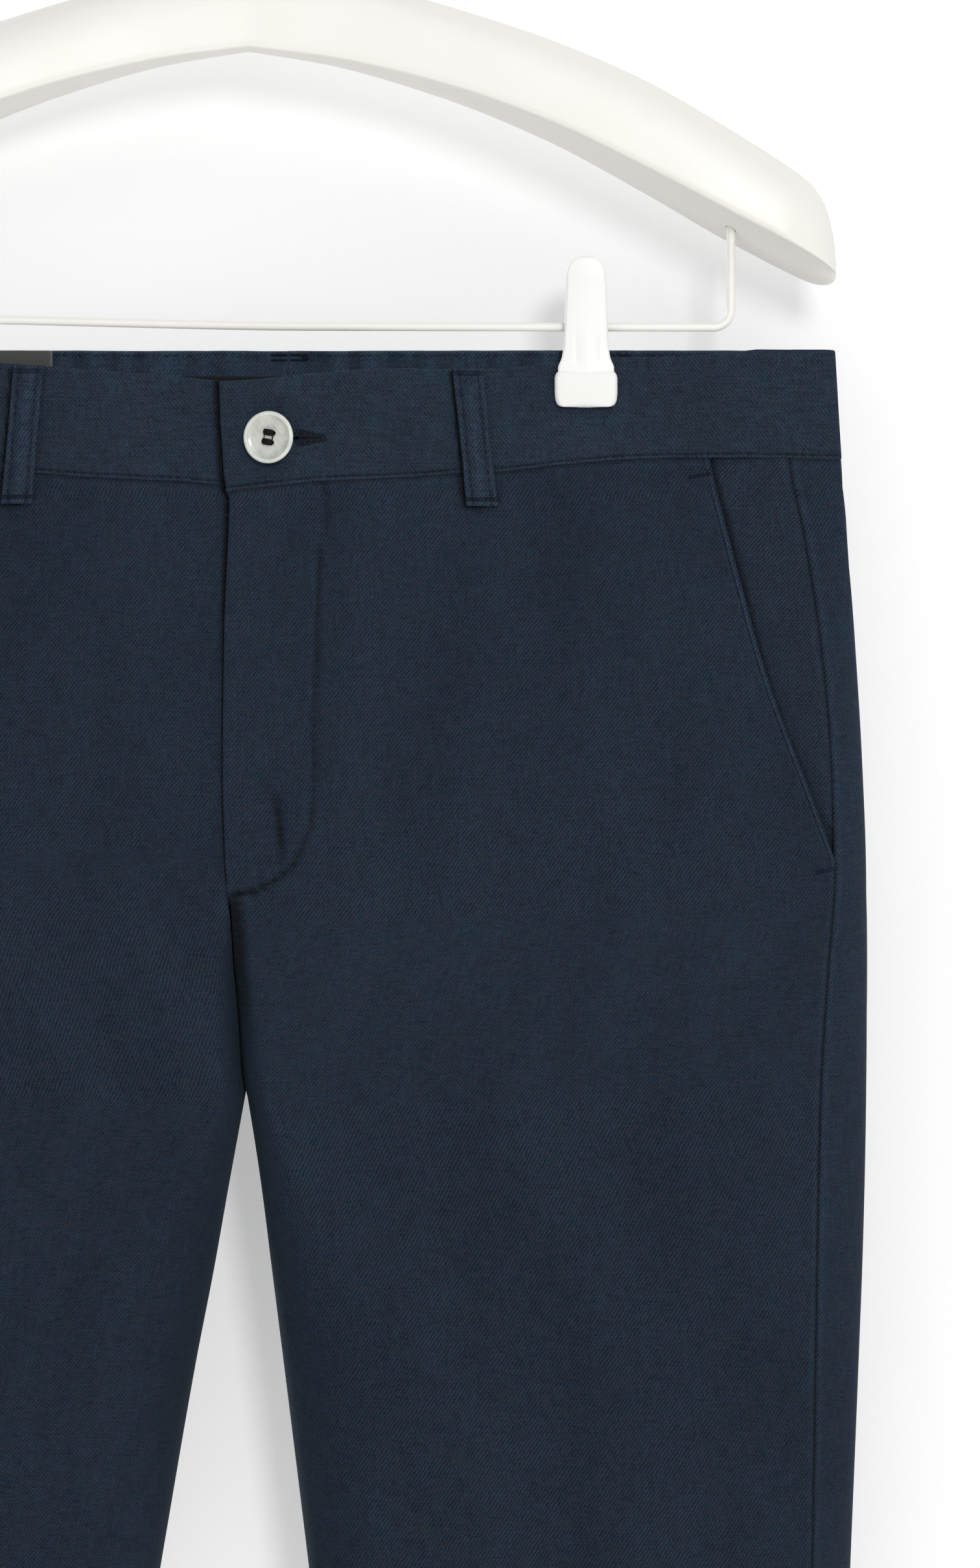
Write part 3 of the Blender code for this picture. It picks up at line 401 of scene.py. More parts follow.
def spread(length, count, steps=EDGE_STEPS, close=0.0, share=0.5):
    """Distances along each length, close together at both ends and even between them. If close
    is given, that share of the middle ones lies within close of the start."""
    length = np.asarray(length, float)[..., None]
    last = steps[-1]
    middle = np.linspace(0, 1, count)[1:-1]
    even = last + (length - 2 * last) * middle
    if close:
        far = close + (length - last - close) * (middle - share) / (1 - share)
        even = np.where(middle < share, last + (close - last) * middle / share, far)
    return np.concatenate([steps + 0 * length, even, length - steps[::-1]], axis=-1)


def grid_normals(points, turned):
    """Which way the cloth faces at every point of its grid."""
    down, along = np.gradient(points, axis=0), np.gradient(points, axis=1)
    normal = np.cross(down, along) * turned
    return normal / np.linalg.norm(normal, axis=2, keepdims=True)


def add_piece(name, mesh, finish, node=None):
    """A piece of the finished object, in place of the CAD node that it stands for, if any."""
    made = bpy.data.objects.new(name, mesh)
    bpy.context.collection.objects.link(made)
    mesh.materials.append(finish)
    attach(made, "root")
    if node:
        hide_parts(node)
    return made


def mesh_of(name, verts, faces, uv=None, tone=None):
    """A smooth mesh from points in millimetres, with its place along the cloth and its tone."""
    mesh = bpy.data.meshes.new(name)
    mesh.from_pydata((np.asarray(verts) * MM).tolist(), [], faces)
    if uv is not None:
        corners = np.empty(len(mesh.loops), np.int32)
        mesh.loops.foreach_get("vertex_index", corners)
        layer = mesh.uv_layers.new(name="cloth")
        layer.data.foreach_set("uv", (np.asarray(uv)[corners] * MM).astype(np.float32).ravel())
    if tone is not None:
        layer = mesh.attributes.new("tone", "FLOAT", "POINT")
        layer.data.foreach_set("value", np.asarray(tone, np.float32))
    mesh.shade_smooth()
    return mesh


def shell(name, points, thick, uv, tone=1.0, turned=1, reverse=1.0):
    """A closed sheet of cloth from the grid of points of its outer face. Its edges round over,
    turned is -1 where the grid runs the other way round, and reverse scales the inner face's tone."""
    rows, columns = points.shape[:2]
    gaps = [np.linalg.norm(np.diff(points, axis=axis), axis=2) for axis in (0, 1)]
    down = np.concatenate([np.zeros((1, columns)), np.cumsum(gaps[0], axis=0)])
    along = np.concatenate([np.zeros((rows, 1)), np.cumsum(gaps[1], axis=1)], axis=1)
    to_edge = np.minimum.reduce([down, down[-1:] - down, along, along[:, -1:] - along])
    half = np.broadcast_to(np.asarray(thick, float) / 2, (rows, columns))
    tuck = half - np.sqrt(np.maximum(half**2 - (half - np.minimum(to_edge, half)) ** 2, 0))
    normal = grid_normals(points, turned)
    outer = points - normal * tuck[..., None]
    inner = points - normal * (2 * half - tuck)[..., None]
    count = rows * columns
    outer_at = np.arange(count).reshape(rows, columns)
    inner_at = outer_at.copy()
    inner_at[1:-1, 1:-1] = count + np.arange((rows - 2) * (columns - 2)).reshape(rows - 2, -1)
    faces = []
    for at_index, flip in ((outer_at, turned < 0), (inner_at, turned > 0)):
        corners = [at_index[:-1, :-1], at_index[1:, :-1], at_index[1:, 1:], at_index[:-1, 1:]]
        faces.append(np.stack(corners[::-1] if flip else corners, axis=-1).reshape(-1, 4))
    tone = np.broadcast_to(np.asarray(tone, float), (rows, columns))[..., None]
    verts, uv, tone = (
        np.concatenate([face.reshape(count, -1), back[1:-1, 1:-1].reshape(-1, face.shape[2])])
        for face, back in ((outer, inner), (uv, uv), (tone, reverse * tone))
    )
    return mesh_of(name, verts, np.concatenate(faces).tolist(), uv, tone.ravel())


def cloth(name, finish, x, y, drop, thick, along=None, relief=None, tone=1.0, turned=1,
          reverse=1.0, node=None):
    """A piece of cloth over a grid given by its X, Y and drop. relief is how far it stands out, and
    along the way along its weft, which is X if nothing is given, or a function of its points."""
    x, y, drop = np.broadcast_arrays(x, y, drop)
    points = np.stack([x, y, WAIST_Z - drop], axis=-1)
    if relief is not None:
        points = points + grid_normals(points, turned) * relief[..., None]
    if callable(along):
        along = turned * along(points)
    uv = np.stack(np.broadcast_arrays(x if along is None else along, -drop), axis=-1)
    return add_piece(name, shell(name, points, thick, uv, tone, turned, reverse), finish, node)


def loft(rings, ends=None):
    """Points and faces of a closed skin over rings of points, that ends in a point at each end."""
    count = len(rings[0])
    first, last = ends or (np.mean(rings[0], axis=0), np.mean(rings[-1], axis=0))
    verts = [*np.reshape(rings, (-1, 3)), first, last]
    faces = [(i + k, i + (k + 1) % count, i + count + (k + 1) % count, i + count + k)
             for i in range(0, (len(rings) - 1) * count, count) for k in range(count)]
    final = (len(rings) - 1) * count
    for k in range(count):
        faces.append(((k + 1) % count, k, len(verts) - 2))
        faces.append((final + k, final + (k + 1) % count, len(verts) - 1))
    return verts, faces


def bm_mesh(name, bm):
    """The shape drawn in bm, in millimetres, as a mesh."""
    bmesh.ops.scale(bm, vec=(MM, MM, MM), verts=bm.verts)
    mesh = bpy.data.meshes.new(name)
    bm.to_mesh(mesh)
    bm.free()
    return mesh


def block(bm, place, size, round_by, segments):
    """A block with rounded edges, added to bm."""
    matrix = Matrix.Translation(place) @ Matrix.Diagonal((*size, 1))
    made = bmesh.ops.create_cube(bm, size=1, matrix=matrix)
    edges = list({edge for vert in made["verts"] for edge in vert.link_edges})
    bmesh.ops.bevel(bm, geom=edges, offset=round_by, segments=segments, affect="EDGES", profile=0.5)


# Which way a rod lies, and the turn that lays it so.
AXES = {
    "X": (Vector((1, 0, 0)), Matrix.Rotation(math.pi / 2, 4, "Y")),
    "Y": (Vector((0, 1, 0)), Matrix.Rotation(math.pi / 2, 4, "X")),
    "Z": (Vector((0, 0, 1)), Matrix()),
}


def rod(bm, radius, low, high, place, sides=24, axis="Y"):
    """A plain rod added to bm, from low to high along its axis."""
    way, turn = AXES[axis]
    middle = Matrix.Translation(Vector(place) + way * (low + high) / 2)
    bmesh.ops.create_cone(bm, cap_ends=True, segments=sides, radius1=radius, radius2=radius,
                          depth=high - low, matrix=middle @ turn)


def cut(item, bm):
    """Takes the closed shape in bm out of item, and keeps the result as item's own mesh."""
    bmesh.ops.recalc_face_normals(bm, faces=bm.faces)
    cutter = bpy.data.objects.new("cutter", bm_mesh("cutter", bm))
    bpy.context.collection.objects.link(cutter)
    modifier = item.modifiers.new("cut", "BOOLEAN")
    modifier.operation, modifier.object, modifier.solver = "DIFFERENCE", cutter, "EXACT"
    graph = bpy.context.evaluated_depsgraph_get()
    mesh = bpy.data.meshes.new_from_object(item.evaluated_get(graph))
    item.modifiers.clear()
    item.data = mesh
    bpy.data.objects.remove(cutter)


# ---------------------------------------------------------------- fronts and backs


def even_turns(side, drops, starts, ends, *steps):
    """Turns that cut each level of a half into steps along the cloth, and those steps."""
    turns, lengths = [], []
    for drop, start, end in zip(drops, starts, ends):
        fine = np.linspace(start, end, 150)
        run = length_along(np.stack(section(side, drop, fine), axis=-1))
        lengths.append(spread(run[-1], *steps))
        turns.append(np.interp(lengths[-1], run, fine))
    return np.array(turns), np.array(lengths)


def front_outer_edge(drop):
    """The slanted pocket edge, then the side seam."""
    seam = at(BODY, "side_seam", drop)
    pocket = np.minimum(seam, at(POCKET_EDGE, "across", drop))
    return np.where(drop < POCKET_EDGE["drop"][-1], pocket, seam + SEAM_LAP / 2)


def seat_work(side, across, drop):
    """The seat seam, from the waistband down between the legs, pulled tight near the crotch."""
    seat = np.maximum(across - inner_edge(side, drop, "back"), 0)
    tight = ease(drop, 150, 250) * (1 - ease(drop, 300, 360))
    relief = ridges(seat, (0, 0.9, -0.4), (2.6, 1.5, 0.35))
    relief += (0.12 + 0.25 * tight) * pucker(drop, seat, 7.7, 1.0, 5 + 9 * tight)
    # Painted shade in the seam's groove and a faint painted highlight beside it.
    return relief, ridges(seat, (0, 0.7, -0.6), (2.2, 1.0, 0.1))


def pocket_work(drop, to_edge):
    """The pocket's rolled edge and the row of stitches behind it. Its pale lines are partly wear and partly
    painted highlight.
    """
    full = 0.5 + 0.5 * ease(drop, 50, 70)
    holes = dimples(drop, to_edge - POCKET_ROW, 0.6)
    relief = pucker(drop, to_edge - POCKET_ROW, 6.1, 0.1, 4) - 0.14 * holes
    relief += full * ridges(to_edge, (0.4, 0.3, 0.06), (0.95, 0.3, -0.12), (1.5, 0.4, 0.2),
                            (POCKET_ROW, 0.35, -0.3), (3.0, 0.6, 0.1))
    # Painted shade at the edge and in the stitch holes, and pale lines of wear and painted highlight on the
    # ridges.
    tone = ridges(to_edge, (0, 0.5, -0.3)) - 0.4 * holes
    tone += full * ridges(to_edge, (0.4, 0.3, 0.45), (0.95, 0.3, -0.25), (1.5, 0.4, 1.25),
                          (POCKET_ROW, 0.35, -0.5), (3.0, 0.6, 0.2))
    return relief, tone


def fly_work(across, drop):
    """The fly's curved row of stitches, the crease inside its curl, and the seam below it."""
    away, foot = off_path(across, drop, FLY_STITCH)
    firm = 0.75 + 0.25 * (1 - ease(drop, 100, 135)) + 0.2 * ease(drop, 172, 190)
    curl = ease(drop, 180, 188)
    holes = firm * dimples(foot, away, 0.9)
    crease = fold(across, drop, 10.4, 160, 14.0, 193, 1.5, 1.2, 0.4) * (1 - ease(drop, 181, 191))
    crease += 0.3 * fold(across, drop, 7, 150, 14, 196, 4, 1.0, 0.6)
    # Under the bartack the seam to the crotch sinks in, deepest at the top.
    beside = across - inner_edge(1, drop, "front")
    sunk = (1 - ease(beside, 2.6, 8)) * ease(drop, 199.5, 202) * (1 - ease(drop, 226, 266))
    relief = pucker(foot, away, 6.7, 0.12, 5) - firm * (0.4 * bell(away, 1.0) + 0.3 * bell(away, 3.0))
    relief += 0.3 * bell(beside - 2.6, 2.2) * (1 - sunk) - 0.7 * crease - 0.8 * sunk - 0.14 * holes
    # Painted shade in the stitched trough, the stitch holes, the crease and the sunk seam, and a painted
    # highlight beside the row.
    tone = firm * (0.14 * bell(away - 2.4, 0.9) - 0.1 * bell(away, 2.6))
    tone -= 0.5 * crease + 0.8 * sunk + 0.3 * holes
    tone -= (firm * 0.26 + curl * 0.5 * dimples(foot / 1.6, 0, 1)) * bell(away, 0.9 + 0.4 * curl)
    return relief, tone


def seam_work(side, across, drop, below_band, to_outer, front):
    """The relief and the tone that seams and stitches give a panel; the tone holds painted shade and painted
    highlights.
    """
    hem = drop - (HEM_DROP - HEM_DEEP)
    pocket_end = ease(drop, 187, 192)
    sewn_side = pocket_end if front else 1.0
    relief = pucker(across, below_band, 5.6, 0.16, 6) + pucker(across + 40, hem, 7.4, 0.14, 9)
    relief += ridges(hem, (0, 0.9, -0.22))
    relief += sewn_side * (ridges(to_outer, (2.4, 1.4, 0.34)) + pucker(drop, to_outer - 2, 8.3, 0.16, 5))
    # Painted shade under the waistband's edge, along the hem line and at the side seam's edge, and painted
    # highlights on the ridges beside them.
    tone = 1 + ridges(below_band, (0, 0.9, -0.5), (2.2, 1.1, 0.1)) + ridges(hem, (0, 0.8, -0.1))
    dark = 0.9 if front else 0.35 + 0.5 * pocket_end
    tone += sewn_side * (ridges(to_outer, (2.0, 0.9, 0.24)) - dark * bell(to_outer, 0.8))
    # The seat, pocket and fly tones hold painted shade and painted highlights, and at the pocket also wear.
    if not front:
        more, painted_light_and_wear = seat_work(side, across, drop)
        return relief + more, tone + painted_light_and_wear
    more, painted_light_and_wear = pocket_work(drop, to_outer)
    relief += (1 - pocket_end) * more
    tone += (1 - pocket_end) * painted_light_and_wear
    # Painted shadow along the front belt loops' -X edges.
    tone *= 1 - 0.85 * loop_painted_shadow(side, across, drop)
    if side > 0:
        more, painted_light_and_wear = fly_work(across, drop)
        return relief + more, tone + painted_light_and_wear
    # The overlap's shade: broad where it stands out most, below the waistband.
    beside = across + at(FLY_EDGE, "x", drop)
    broad = 3.2 - 2.3 * ease(drop, 56, 140)
    shade = (0.92 - 0.3 * ease(drop, 90, 160)) * (1 - ease(drop, 196, 206))
    return relief, tone * (1 - shade * (1 - ease(beside, 0.3 * broad, broad)))


def body_panel(side, word, front, rows, columns, finish):
    """A front or a back. A front's rows and columns lie closer round the fly and the pocket."""
    name = ("front_" if front else "back_") + word
    top = float(band_seam(POCKET_EDGE["across"][0], 0) if front else BACK_BAND_SEAM) - UNDER_BAND
    down = spread(HEM_DROP - top, rows, EDGE_STEPS, 175.0 if front else 0, 0.58)
    levels = top + down
    if front:
        starts, ends = 0 * levels, turn_at(side, levels, front_outer_edge(levels))
    else:
        starts = turn_at(side, levels, at(BODY, "side_seam", levels) - SEAM_LAP / 2)
        ends = 0 * levels + 6.0
    turn, along = even_turns(side, levels, starts, ends, columns, SEAM_STEPS, 34.0 if front else 0, 0.38)
    across = section(side, levels[:, None], turn)[0]
    own_top = band_seam(across[:1], turn[:1]) - UNDER_BAND
    drop = own_top + down[:, None] / (HEM_DROP - top) * (HEM_DROP - own_top)
    across, y = section(side, drop, turn)
    y = y - np.where(turn <= 3, overlap_lift(side, across, drop), 0)
    to_outer = along[:, -1:] - along if front else along
    relief, tone = seam_work(side, across, drop, drop - own_top - UNDER_BAND, to_outer, front)
    folds = drape(side, across, drop, "front")
    if not front:
        folds = np.where(turn > 3, drape(side, across, drop, "back"), folds)
        folds = folds * ease(abs(turn - 3), 0, 0.4)
        # Painted light: the backs are drawn lighter than the fronts.
        tone = tone * BACK_PAINTED_LIGHT
    # Painted shade: the cloth darkens by up to a tenth from the seat down the legs.
    tone = tone * (1 - 0.1 * ease(drop, 180, 400))
    thick = CLOTH + (HEM - CLOTH) * ease(drop, HEM_DROP - HEM_DEEP - 1, HEM_DROP - HEM_DEEP + 1)
    return cloth("linen_" + name, finish, side * across, y, drop, thick, side * along,
                 relief + folds, tone, side, node=name)


# ---------------------------------------------------------------- waistband


def band_columns(side, count):
    """Round the waistband at its mid height: how far along the cloth, the turn, and how far
    the right band's underlap runs on past turn 0."""
    fine = np.linspace(0, 6, 900)
    run = length_along(np.stack(section(side, BAND_MIDDLE, fine), axis=-1))
    under = UNDERLAP + float(inner_edge(side, BAND_MIDDLE, "front")) if side < 0 else 0.0
    distances = spread(run[-1] + under, count) - under
    return distances, np.interp(distances, run, fine), np.minimum(distances, 0)


def waistband(side, word, finish):
    """Half of the waistband, from the fly round to the centre back, gathered by its two rows."""
    name = "waistband_" + word
    along, turn, under = (row[None] for row in band_columns(side, 440))
    in_front, hidden = turn <= 3, under < 0
    across = section(side, BAND_MIDDLE, turn)[0] + under
    top = np.where(in_front, at(BAND_TOP[side], "drop", across, "across"), 0.0)
    seam = band_seam(across, turn)
    drop = top + spread(BACK_BAND_SEAM, 22)[:, None] / BACK_BAND_SEAM * (seam - top)
    over, y = section(side, drop, turn, -BAND_PROUD * (1 - 0.85 * bell(turn - 3, 0.4)))
    over = over + under
    y = np.where(hidden, -(depth(over, drop, "front") + BAND_PROUD), y)
    y = y - np.where(in_front, overlap_lift(side, over, drop), 0) * ~hidden
    below, above = drop - top, seam - drop
    x, face = side * over, np.where(in_front, 0.0, 1.0)
    relief = pucker(x + 7 + 90 * face, above, 6.3, 0.2, 5.5)
    relief += pucker(x + 31 + 50 * face, below, 12.5, 0.2, 9)
    relief += 0.5 * ripple(along * 1.6 + 300 * side, drop * 2.2, 1.2 + side) * ease(above, 0, 9)
    relief += ridges(above, (2.0, 0.7, -0.18)) + ridges(below, (TOP_ROW, 0.7, -0.12))
    nip = abs(over) - CLIP_ACROSS
    buckled = ridges(nip, (-17.5, 2.3, 0.4), (-13.6, 2.3, -0.25), (14.2, 2.3, -0.3), (18.6, 2.3, 0.45))
    relief += buckled * (1 - ease(drop, 16, 36))
    relief *= ease(abs(nip), 11.9, 15) * ease(abs(turn - 3), 0, 0.1) * ~hidden
    # The folded lip over the seam is pale, partly from wear and partly as a painted highlight. The stitches
    # above it get painted shade in their dimples, and the inner face has painted light and shade where its
    # gathers bend it.
    holes = dimples(x, above - WAIST_ROW, 0.75) + 0.8 * face * dimples(x + 1, below - TOP_ROW, 0.8)
    tone = 1.05 + ridges(above, (0, 0.3, -0.4), (0.65, 0.3, 0.45), (WAIST_ROW, 0.5, -0.35))
    tone += ridges(below, (0, 0.8, 0.22)) - 0.6 * holes
    tone += face * (1.5 * pucker(x + 121, below, 12.5, 0.2, 14) - 0.15 * bell(below - TOP_ROW, 0.6))
    # Painted shadow of the overlap's edge on the right band.
    if side < 0:
        tone *= 1 - 0.9 * (1 - ease(over + at(FLY_EDGE, "x", drop), 1.0, 3.8)) * in_front
    # Painted shadow along the front belt loops' -X edges.
    tone *= 1 - 0.85 * loop_painted_shadow(side, over, drop) * in_front
    # Nothing lights the back band's inner face but what comes over the front, so its tone is painted lighter:
    # painted light.
    return cloth("linen_" + name, finish, x, y, drop, BAND, side * along, relief, tone,
                 side, INNER_FACE_PAINTED_LIGHT, name)


# ---------------------------------------------------------------- fly, pockets


def fly_pieces(cloth_finish, tape_finish):
    """The shield behind the closed fly, and the zip's tape in front of it."""
    top, low, tape_low = 56.0, 183.0, 178.0
    drop = (top + spread(low - top, 60))[:, None]
    start = TOUCH - inner_edge(-1, drop, "front")
    x = start + (SHIELD_ACROSS - start) * np.linspace(0, 1, 24)[None]
    shield = cloth("linen_fly_shield", cloth_finish, x, -depth(x, drop, "front"), drop,
                   CLOTH, tone=0.9, node="fly_shield")
    drop = (top + spread(tape_low - top, 50))[:, None]
    x = np.linspace(-1, 25, 18)[None]
    y = -depth(x, drop, "front") - TOUCH - TAPE
    tape = cloth("woven_fly_zip", tape_finish, x, y, drop, TAPE, node="fly_zip")
    return shield, tape


def run_along(points):
    """How far each point is along its row, from where the row starts in X."""
    steps = np.linalg.norm(np.diff(points, axis=1), axis=2)
    run = np.concatenate([0 * steps[:, :1], np.cumsum(steps, axis=1)], axis=1)
    return abs(points[:, :1, 0]) + run


def pocket_pieces(side, word, facing_finish, bag_finish):
    """The strip that shows beside the pocket's slanted edge, and the bag behind the front."""
    top = float(band_seam(190, 0)) - UNDER_BAND
    drop = (top + spread(189.5 - top, 90))[:, None]
    edge, seam = at(POCKET_EDGE, "across", drop), at(BODY, "side_seam", drop)
    across = edge - FACING_UNDER + spread((seam + SEAM_UNDER - edge + FACING_UNDER)[:, 0], 60)
    past, to_seam = across - edge, seam - across
    behind = 2.2 - 1.95 * ease(across, edge + 2, np.maximum(seam - 2, edge + 4))
    behind = behind + 1.5 * ease(across, seam - 0.4, seam + 0.8)
    x, y = section(side, drop, turn_at(side, drop, across), behind)
    sag = drape(side, across, drop, "front") - 0.5 * bell(past - 3, 4) * ease(drop, 70, 120)
    sag += ridges(to_seam, (2.4, 1.4, 0.25)) + fold(across, drop, 176, 44, 196, 58, 3.5, 0.4, 2)
    # Painted shadow of the pocket's edge on the facing, and painted shade along the side seam with a faint
    # painted highlight on its ridge.
    tone = 0.93 - 0.6 * (1 - ease(past, 0.2, 3.4)) - 0.08 * (1 - ease(past, 2, 9))
    tone += ridges(to_seam, (0, 0.6, -0.3), (2.4, 0.9, 0.1))
    name = "pocket_facing_" + word
    facing = cloth("linen_" + name, facing_finish, side * x, y, drop, 1.2, run_along,
                   sag, tone, side, node=name)

    high, low = POCKET_BAG["drop"][0], POCKET_BAG["drop"][-1]
    drop = (high + spread(low - high, 70))[:, None]
    inner = at(POCKET_BAG, "inner", drop)
    outer = np.minimum(at(BODY, "side_seam", drop) - 5, 207)
    across = inner + spread((outer - inner)[:, 0], 32)
    x, y = section(side, drop, turn_at(side, drop, across), 3.9)
    sag = np.minimum(drape(side, across, drop, "front"), 0.3)
    name = "pocket_bag_" + word
    bag = cloth("cotton_" + name, bag_finish, side * x, y, drop, 0.9, run_along, sag,
                1.0, side, node=name)
    return facing, bag


# ---------------------------------------------------------------- belt loops, inside back


def belt_loop(name, finish):
    """A strip folded in three with a raised middle, that bows away from the band for the belt."""
    side, face, top_across, low_across, top_drop, low_drop = LOOPS[name]
    sign = -1 if face == "front" else 1
    share = spread(low_drop - top_drop, 56)[:, None] / (low_drop - top_drop)
    drop = top_drop + share * (low_drop - top_drop)
    middle = top_across + share * (low_across - top_across)
    offset = spread(LOOP_WIDTH, 20)[None] - LOOP_WIDTH / 2
    # It lies on the highest of five places across the cloth below it.
    proud = BAND_PROUD * (1 - ease(drop, 52, 56))
    below = [sign * section(side, drop, turn_at(side, drop, middle + LOOP_WIDTH * k, face), -proud)[1]
             for k in np.linspace(-0.5, 0.5, 5)]
    ends = below[0], np.maximum(below[-1], below[0] - 3.0)
    slope = ends[1] - ends[0]
    bulge = np.max([out - ends[0] - slope * k / 4 for k, out in enumerate(below)], axis=0)
    out = ends[0] + slope * (offset / LOOP_WIDTH + 0.5) + bulge
    stand = 0.6 + 1.2 * np.sin(math.pi * share) + LOOP_WALL
    from_edge, from_top, from_low = LOOP_WIDTH / 2 - abs(offset), drop - top_drop, low_drop - drop
    crown = ridges(offset, (0, 2.3, 0.7)) + ridges(from_edge, (LOOP_STITCH, 0.65, -0.45))
    crown = crown + 0.1 * ripple(offset * 4 + top_across, drop * 3, top_across)
    lip = ridges(from_low, (1.1, 0.8, 0.35)) + ridges(from_top, (0.8, 0.7, 0.25))
    bars = ridges(from_low, (2.6, 0.7, 0.45)) + ridges(from_top, (2.2, 0.7, 0.4))
    # Painted highlights on the raised middle, the folded edges and the end lips, and painted shade along the
    # stitch rows, the edges and the bartacks.
    tone = 1 + ridges(offset, (0, 1.8, 0.22)) + 0.5 * (lip - bars)
    tone = tone + ridges(from_edge, (LOOP_STITCH, 0.5, -0.4), (0.9, 0.6, 0.25), (0, 0.4, -0.3))
    x = side * (middle + offset * (1 - 0.05 * np.sin(math.pi * share)))
    y = sign * (out + stand + crown + lip - bars)
    return cloth("linen_" + name, finish, x, y, drop, LOOP_WALL, tone=tone,
                 turned=-side * sign, node=name)


def inside_back(name, node, start, end, top, low, thick, finish, edge_tone=0.0):
    """A strip sewn inside the back waistband, from start to end in X."""
    x = start + spread(end - start, max(12, int((end - start) / 2.4)))[None]
    drop = (top + spread(low - top, 10))[:, None]
    y = depth(x, drop, "back") - (BAND - BAND_PROUD) - TOUCH - thick
    tone = 1 + edge_tone * bell(end - x, 0.8)
    return cloth(name, finish, x, y, drop, thick, tone=tone, node=node)


# ---------------------------------------------------------------- threads

BIT_SIDES = 6
# Where the rings of one stitch lie along it, and how thick it is there.
BIT_RINGS = ((0.1, 0.75), (0.3, 1.0), (0.7, 1.0), (0.9, 0.75))


def round_about(count):
    """The cosine and the sine of each of count even turns."""
    return [(math.cos(2 * math.pi * k / count), math.sin(2 * math.pi * k / count)) for k in range(count)]


def thread_bits(name, bits, finish, node=None):
    """Short lengths of thread in one mesh. Each bit: its two ends, the way up from the cloth,
    its radius and how far its middle lifts."""
    verts, faces = [], []
    for start, end, up, radius, lift in bits:
        start, end, up = Vector(start), Vector(end), Vector(up).normalized()
        out = (end - start).normalized().cross(up).normalized()
        rings = []
        for share, size in BIT_RINGS:
            middle = start.lerp(end, share) + up * lift * math.sin(math.pi * share)
            rings.append([middle + (out * c + up * s) * radius * size for c, s in round_about(BIT_SIDES)])
        skin, around = loft(rings, (start, end))
        faces += [tuple(len(verts) + k for k in face) for face in around]
        verts += skin
    return add_piece(name, mesh_of(name, verts, faces), finish, node)


def tree_of(mesh):
    """The mesh's surface in millimetres, for laying stitches on it."""
    corners = [vert.co / MM for vert in mesh.vertices]
    return BVHTree.FromPolygons(corners, [polygon.vertices for polygon in mesh.polygons])


def on_cloth(trees, x, drop, face="front"):
    """Where a needle from outside meets the cloth, and the way out from it there."""
    sign = 1 if face == "back" else -1
    start = 0 if face == "inside back" else sign * 150
    hits = []
    for tree in trees:
        place, normal, _, away = tree.ray_cast(Vector((x, start, WAIST_Z - drop)), Vector((0, -sign, 0)))
        if place is not None:
            hits.append((away, place, normal))
    if not hits:
        return None
    _, place, normal = min(hits, key=lambda hit: hit[0])
    return place, normal if normal.y * sign > 0 else -normal


def sew(trees, path, face="front", pitch=PITCH):
    """A row of stitches along a path of (x, drop), each lying on the cloth, some deeper in it."""
    bits, points = [], np.array(path, float)
    ends = length_along(points)

    def place(run):
        """The point this far along the path, on the cloth."""
        i = min(int(np.searchsorted(ends, run, side="right")) - 1, len(points) - 2)
        share = (run - ends[i]) / (ends[i + 1] - ends[i])
        return on_cloth(trees, *(points[i] * (1 - share) + points[i + 1] * share), face)

    run = 0.6
    while run + STITCH < ends[-1]:
        a, b = place(run), place(run + STITCH)
        if a and b and (a[0] - b[0]).length < 1.6 * STITCH:
            up = (a[1] + b[1]).normalized()
            count = len(bits)
            deep = 0.05 + 0.14 * (1 + math.sin(1.9 * count + 2.0 * math.sin(0.37 * count)))
            bits.append((a[0] - up * deep, b[0] - up * deep, up, THREAD, 0.12))
        run += pitch
    return bits


def bartack(trees, start, end, face="front", rows=2, apart=1.0, height=0.9, radius=THREAD):
    """Close zigzag stitches over a short line, in rows, as a bartacking machine makes."""
    bits = []
    start, end = np.array(start, float), np.array(end, float)
    length = math.hypot(*(end - start))
    beside = np.array((start[1] - end[1], end[0] - start[0])) / length
    count = max(4, int(length / 0.42))
    for row in range(rows):
        offset = (row - (rows - 1) / 2) * apart
        for i in range(count):
            ends = []
            for half, lean in ((-0.5, -0.2), (0.5, 0.2)):
                place = start + (end - start) * (i + 0.5 + lean) / count + beside * (offset + half * height)
                ends.append(on_cloth(trees, *place, face))
            if None in ends or (ends[0][0] - ends[1][0]).length > 2.5 * height:
                continue
            up = (ends[0][1] + ends[1][1]).normalized()
            bits.append((ends[0][0], ends[1][0], up, radius, 0.18 + 0.05 * math.sin(3.1 * i)))
    return bits


# ---------------------------------------------------------------- zip

ZIP_X = 12.0
ZIP_TOP, ZIP_LOW = 60.0, 175.0
TOOTH_PITCH = 1.25
COIL_PROUD = 0.65  # the coil's middle stands in front of the cloth's middle


def zip_y(drop, proud=COIL_PROUD):
    """The Y of something that stands this proud of the cloth along the zip."""
    return -float(depth(ZIP_X, drop, "front")) - proud


def zip_coil(finish):
    """The closed zip's coils, whose turns mesh from the two tapes in turn, and its stop below."""
    bits = []
    for i in range(int((ZIP_LOW - ZIP_TOP) / TOOTH_PITCH * 2)):
        drop, side = ZIP_TOP + i * TOOTH_PITCH / 2, (1, -1)[i % 2]
        ends = [(ZIP_X + side * reach, zip_y(drop), WAIST_Z - drop) for reach in (2.7, -0.8)]
        bits.append((*ends, (0, -1, 0), 0.5, 0.1))
    for below in (1, 1.8):
        ends = [(ZIP_X + reach, zip_y(ZIP_LOW), WAIST_Z - ZIP_LOW - below) for reach in (-3, 3)]
        bits.append((*ends, (0, -1, 0), 0.6, 0))
    return thread_bits("zip_coil", bits, finish, None)


